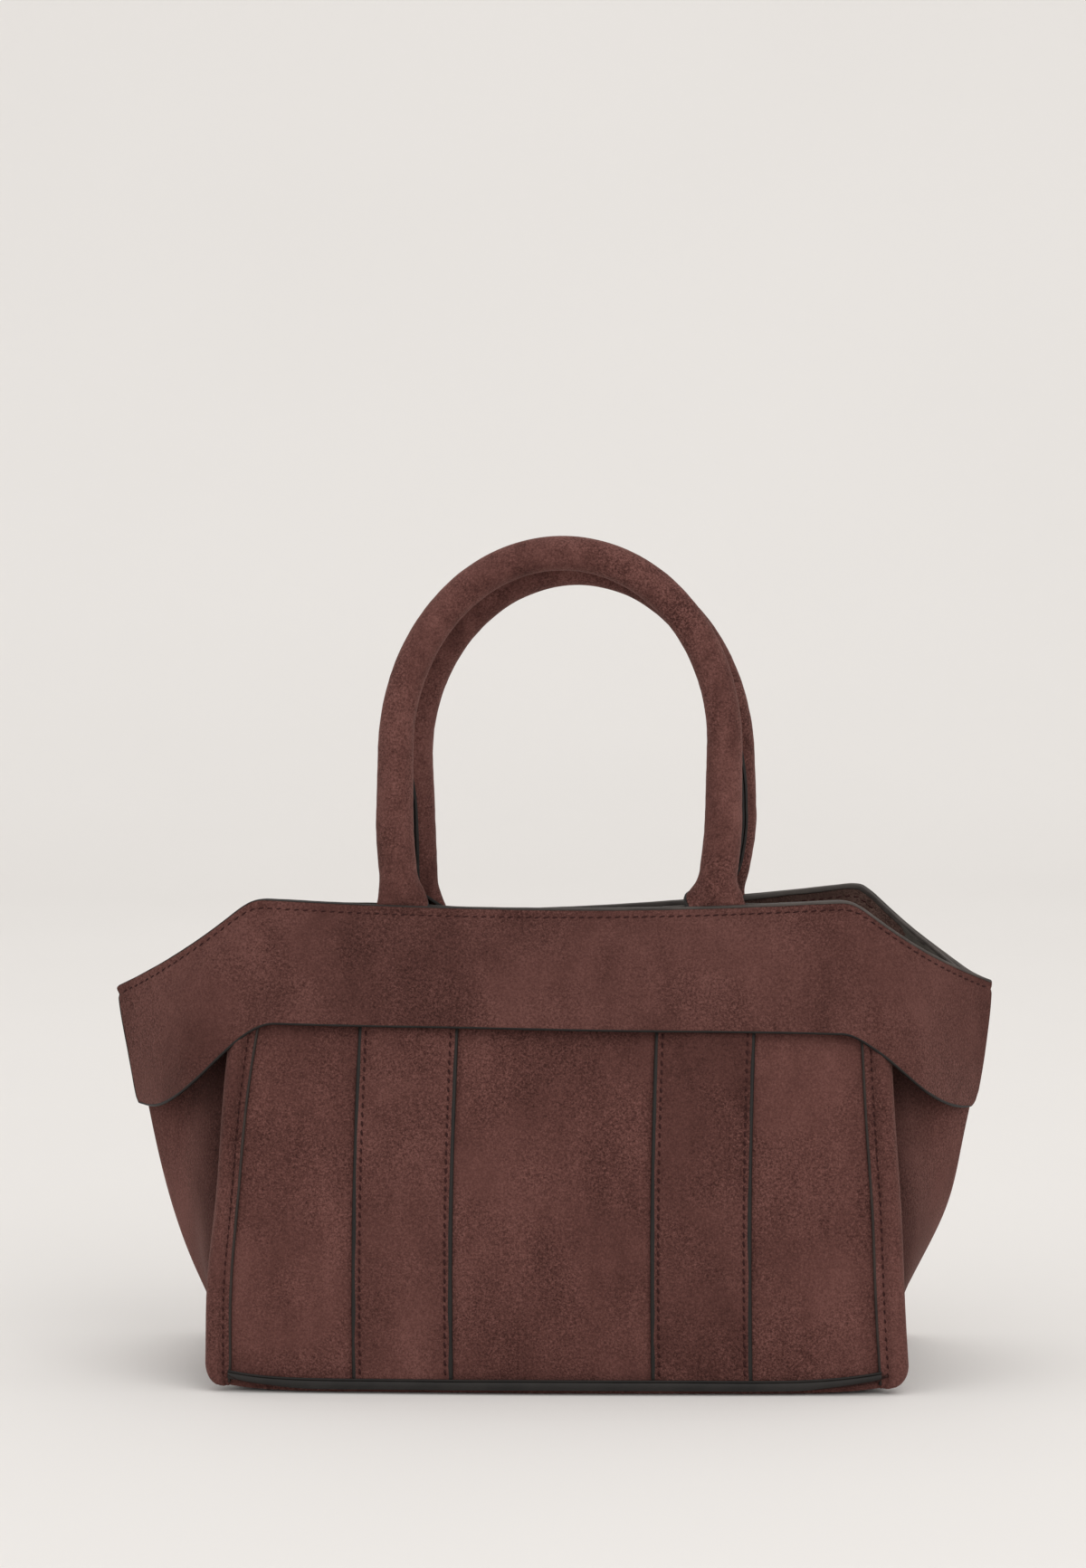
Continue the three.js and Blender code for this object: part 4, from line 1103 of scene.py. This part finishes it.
def build_base():
    f = np.linspace(-1, 1, 140)
    s = np.linspace(-1, 1, 80)[:, None]
    x = f[None, :] * (BASE_HALF_WIDTH - BASE_INSET)
    past_wall = lerp(*BASE_PAST_WALL, smoothstep(np.abs(x), PIPING_TURN[0] - 6, PIPING_TURN[0] + 12))
    depth = np.where(s < 0, wall_depth(FRONT, x, 0 * x), wall_depth(BACK, -x, 0 * x)) + past_wall
    y = s * depth
    away = np.where(s < 0, piping_rise(FRONT, x), piping_rise(BACK, -x))
    border = (PIPING_LOW + away + 0.3) * smoothstep(np.abs(s), *BASE_BORDER)
    rise = border + 1.2 * smoothstep(np.abs(f), 0.96, 1)[None, :]
    z = base_lift(x) + rise + 0.06 * ripple(x, y, 5, 15, 40) * (np.abs(x) > BASE_FLAT_X)
    inside = xyz(x, y * 0.985, base_lift(x) + border + PANEL_T)
    cover("base_panel", slab(xyz(x, y, z), inside), SUEDE_BASE)


def lining_rings(behind, beside, floor):
    """Rings of one face of the lining, from its top edge down the walls and in over its floor."""
    u = np.linspace(-1, 1, 121)
    rings = []
    for f in np.linspace(0, 1, 24):
        halves = []
        for side in SIDES:
            top = settle(side, u, rim_line, RIM_HEIGHT) - LINING_DEPTH
            bottom = base_lift(collar_plan(side, u, 0 * u, 0)[0]) + floor
            z = lerp(top, np.minimum(bottom, top - 10), f)
            x, y = inside_plan(side, u, z, behind, beside)
            halves.append(turned(xyz(x + sway(side, u), y, z), side))
        rings.append(np.concatenate(halves))
    last = rings[-1]
    for f in FLOOR_RINGS:
        ring = last * np.array([f, f, 1])
        uneven = 0.5 * ripple(ring[:, 0], ring[:, 1], 17, 25, 60) * (f < 0.8)
        ring[:, 2] = base_lift(ring[:, 0]) + floor + uneven
        rings.append(ring)
    return rings


def build_lining():
    outer = lining_rings(LINING_IN - LINING_T, LINING_EASE, LINING_FLOOR)
    inner = lining_rings(LINING_IN, LINING_EASE + LINING_T, LINING_FLOOR + LINING_T)
    make("lining_cloth", loft(np.stack(outer[::-1] + inner)), LINING, replaces=["lining"])


# Handles

LEG_R = 5.55  # middle of the strip's thickness in the rolled legs
TOP_R = 5.0  # the same at the top
SEAM_OPENING = 0.45  # between the strip's two edges where it is rolled up
TAB_LAYERS = 1.0  # half the distance between the two layers of a flattened tab
TAB_TAPER = 0.8  # width of the strip at its tabs, as a share of its width in the roll
TAB_FRONT = -0.3  # depth of a tab's front layer from the fold
TAB_SEAM_SHIFT = 5.5  # how far the strip's meeting edges run towards the handle's middle at a tab
# How far the strip's meeting edges turn into the arch on the left and right legs, and at the arch's two ends
LEG_TWISTS = (math.radians(-22), math.radians(-4))
ARCH_TWISTS = (math.radians(10), math.radians(-52))
# Heights above the fold over which a handle changes
TWIST_SPAN = (30, 66)  # from its legs' twist to the arch's
TWIST_FADE = (-5, 9)  # from no twist to its legs' twist
FLAT_SPAN = (-10.5, 5.5)  # from a flat tab to a roll
SEAM_SPAN = (-8, 5)  # over which its meeting edges come back to the middle
INSET_SPAN = (-10, 24)  # from its drawn-in feet to its legs
LEAN_SPAN = (-9, 6)  # from upright tabs to its lean
TAPER_SPAN = (5, 70)  # from its legs' radius to the top's
STRIP_POINTS = 61  # across the strip
CORE_EASE = 0.5
CORE_START = 12  # height above the fold at which the filler starts


def handle_stations(roll):
    """Places along a handle in its own plane, the outward direction there, and height above the fold."""
    low = -(TAB_FOLD_RISE + 14)
    leg_top = roll.rise - ARCH_RISE
    leg = spans((low, -10, 7), (-10, 12, 45), (12, leg_top, 22))[:-1]
    angle = np.linspace(math.pi, 0, 92)
    arch = np.stack([roll.half_span * np.cos(angle), leg_top + ARCH_RISE * np.sin(angle)], axis=1)
    left = np.stack([0 * leg - roll.half_span, leg], axis=1)
    right = left[::-1] * np.array([-1, 1])
    path = np.concatenate([left, arch, right])
    height = path[:, 1].copy()
    inward = np.where(path[:, 0] < 0, roll.insets[0], -roll.insets[1])
    path[:, 0] += inward * (1 - smoothstep(height, *INSET_SPAN))
    path[:, 0] += lerp(roll.shift, roll.skew, smoothstep(height, 0, roll.rise))
    run = np.gradient(path, axis=0)
    out = np.stack([-run[:, 1], run[:, 0]], axis=1)
    return path, unit(out), height


def roll_radius(side, height):
    uneven = 1 + 0.012 * ripple(height * 3, 0 * height + 40, side.seed + 30, 12, 40)
    return lerp(LEG_R, TOP_R, smoothstep(height, *TAPER_SPAN)) * uneven


def stand_up(side, stations, sideways, depth):
    """Points across a handle, given beside and behind its path, in the bag's frame."""
    path, out, height = stations
    roll = ROLLS[side]
    lean = HANDLE_LEAN * smoothstep(height, *LEAN_SPAN)[:, None]
    fold_y = -(wall_depth(side, roll.half_span, RIM_HEIGHT) - TAB_BEHIND)
    left_z, right_z = (rim_line(side, roll.shift + s * roll.half_span) + TAB_FOLD_RISE for s in (-1, 1))
    share = np.clip((path[:, :1] - roll.shift) / roll.half_span, -1, 1) * 0.5 + 0.5
    x = path[:, :1] + out[:, :1] * sideways
    h = path[:, 1:] + out[:, 1:] * sideways
    y = fold_y + depth * np.cos(lean) + h * np.sin(lean)
    z = lerp(left_z, right_z, share) + h * np.cos(lean) - depth * np.sin(lean)
    return xyz(x, y, z)


def handle_faces(side):
    """Outer and inner grids of the strip: a closed roll that flattens into a folded tab at each end."""
    roll = ROLLS[side]
    stations = handle_stations(roll)
    path, height = stations[0], stations[2][:, None]
    flat = 1 - smoothstep(height, *FLAT_SPAN)
    radius = roll_radius(side, height)
    half_flat = np.where(path[:, :1] < roll.shift, *roll.half_flats)
    width = (2 * math.pi * radius - SEAM_OPENING) * lerp(1, TAB_TAPER, flat)
    s = width * np.linspace(-0.5, 0.5, STRIP_POINTS)[None, :]
    turn = half_flat + 1.6 * math.pi * TAB_LAYERS
    shift = TAB_SEAM_SHIFT * (1 - smoothstep(height, *SEAM_SPAN))
    from_middle = s + shift
    folded = math.pi * np.sign(from_middle) * smoothstep(np.abs(from_middle), half_flat, turn)
    share = np.clip(path[:, :1] / roll.half_span * 0.5 + 0.5, 0, 1)
    twist = lerp(lerp(*LEG_TWISTS, share), lerp(*ARCH_TWISTS, share), smoothstep(height, *TWIST_SPAN))
    twist = twist * smoothstep(height, *TWIST_FADE)
    heading = lerp(s / radius, folded, flat) + twist

    def summed(values):
        steps = (values[:, 1:] + values[:, :-1]) / 2 * np.diff(s, axis=1)
        total = np.concatenate([0 * width, np.cumsum(steps, axis=1)], axis=1)
        return total - total[:, [STRIP_POINTS // 2]]

    sideways = summed(np.cos(heading)) + shift * flat + radius * np.sin(twist)
    depth = summed(np.sin(heading)) + lerp(-ROLL_STANDOFF, TAB_FRONT, flat) + radius * (1 - np.cos(twist))

    def face(offset):
        across, behind = sideways + offset * np.sin(heading), depth - offset * np.cos(heading)
        return stand_up(side, stations, across, behind)

    return face(HANDLE_T / 2), face(-HANDLE_T / 2)


def filler_tube(side):
    """The cord inside a rolled handle."""
    path, out, height = handle_stations(ROLLS[side])
    kept = height > CORE_START
    stations = path[kept], out[kept], height[kept]
    radius = roll_radius(side, stations[2])[:, None]
    turns = np.linspace(0, 2 * math.pi, 17)[None, :-1]
    thick = radius - HANDLE_T / 2 - CORE_EASE
    depth = radius - ROLL_STANDOFF + thick * np.sin(turns)
    return loft(stand_up(side, stations, thick * np.cos(turns), depth))


def build_handle(side):
    name = f"{side.name}_handle"
    outer, inner = handle_faces(side)
    covered = [f"{name}_cover", f"{name}_tab_left", f"{name}_tab_right"]
    strip = make(f"{name}_suede", slab(outer, inner), SUEDE_HANDLE, side, covered, None)
    beads = long_edges(outer, inner, half_t=HANDLE_T / 2 + 0.1, wrap=0.9, swell=0.16)
    # The handle's edges take the lighter base paint: a painted highlight along them.
    edges = paint(f"{name}_edges", beads, side, EDGE_BASE, None)
    for piece in (strip, edges):
        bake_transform(piece)
    make(f"{name}_filler", filler_tube(side), FILLER, side, [f"{name}_core"], name)


# Pieces that keep their solid's shape

def finish_kept_nodes():
    boards = ["base_board", "front_stiffener", "back_stiffener"]
    metals = ["snap_socket", "snap_socket_washer", "snap_stud", "snap_stud_washer"]
    for material, nodes in ((steel(), metals), (pulp_board(), boards)):
        for node in nodes:
            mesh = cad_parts[node].data
            mesh.materials.clear()
            mesh.materials.append(material)


# Stage, light and camera

def build_stage():
    """A pale floor that sweeps up into a backdrop behind the bag."""
    g = Graph("studio_paper", Roughness=0.9, Specular_IOR_Level=0.2)
    tooth = g.noise(3, 2.0)
    g.feed(g.shader, {"Base Color": g.tones(tooth, (0.786, 0.766, 0.748), (0.798, 0.778, 0.760))})
    half, front, back, bend, height = 4.0, -5.0, 1.6, 0.9, 4.5
    angles = np.linspace(0, math.pi / 2, 16)
    profile = [(front, 0.0)] + [(back + bend * math.sin(a), bend - bend * math.cos(a)) for a in angles]
    profile += [(back + bend, height)]
    vertices = [(x, y, z) for y, z in profile for x in (-half, half)]
    faces = [(2 * i, 2 * i + 1, 2 * i + 3, 2 * i + 2) for i in range(len(profile) - 1)]
    add_mesh("studio_floor", vertices, faces, g.material)


def aim(thing, target):
    direction = Vector(target) - thing.location
    thing.rotation_euler = direction.to_track_quat("-Z", "Y").to_euler()


def softbox(name, place, target, size, power, colour):
    light = bpy.data.lights.new(name, "AREA")
    light.shape = "RECTANGLE"
    light.size, light.size_y = size
    light.energy = power
    light.color = colour
    lamp = add_object(name, light)
    lamp.location = place
    aim(lamp, target)


def build_lights():
    world = bpy.data.worlds.new("studio")
    world.use_nodes = True
    background = world.node_tree.nodes["Background"]
    background.inputs["Color"].default_value = (1.0, 0.99, 0.975, 1)
    background.inputs["Strength"].default_value = 0.80
    bpy.context.scene.world = world
    bpy.context.scene.view_settings.view_transform = "Standard"
    middle = (0, 0, 0.12)
    softbox("key_light", (1.3, -1.9, 1.9), middle, (2.3, 2.3), 22, (1.0, 0.985, 0.965))
    softbox("fill_light", (-1.7, -1.6, 1.3), middle, (1.6, 1.6), 6, (1.0, 0.99, 0.98))
    softbox("top_light", (0.0, 0.3, 2.3), middle, (2.2, 1.6), 6, (1.0, 0.99, 0.97))
    softbox("backdrop_light", (0.0, 0.8, 2.9), (0, 2.5, 1.0), (3.0, 1.0), 8, (1.0, 0.99, 0.97))


CAMERA_RANGE = 1900
CAMERA_AZIMUTH = math.radians(1.5)
CAMERA_HEIGHT = 360
LOOK_X = -6.24
LOOK_Z = 200.6
FOCAL_PIXELS = 6145.6
PHOTO_HEIGHT = 1733
SENSOR = 36


def build_camera():
    camera = bpy.data.cameras.new("photo_camera")
    camera.sensor_width = SENSOR
    camera.lens = SENSOR * FOCAL_PIXELS / PHOTO_HEIGHT
    camera.clip_start = 0.05
    lens = add_object("photo_camera", camera)
    across, along = CAMERA_RANGE * math.sin(CAMERA_AZIMUTH), CAMERA_RANGE * math.cos(CAMERA_AZIMUTH)
    lens.location = Vector((across + LOOK_X, -along, CAMERA_HEIGHT)) * MM
    aim(lens, Vector((LOOK_X, 0, LOOK_Z)) * MM)
    bpy.context.scene.camera = lens


for half in SIDES:
    build_panel(half)
    build_rim(half)
    build_piping(half)
    build_handle(half)
    for hand in (-1, 1):
        build_strip(half, hand)
        build_binding(half, hand)
for hand in (-1, 1):
    build_gusset(hand)
build_base()
build_lining()
finish_kept_nodes()
build_stage()
build_lights()
build_camera()
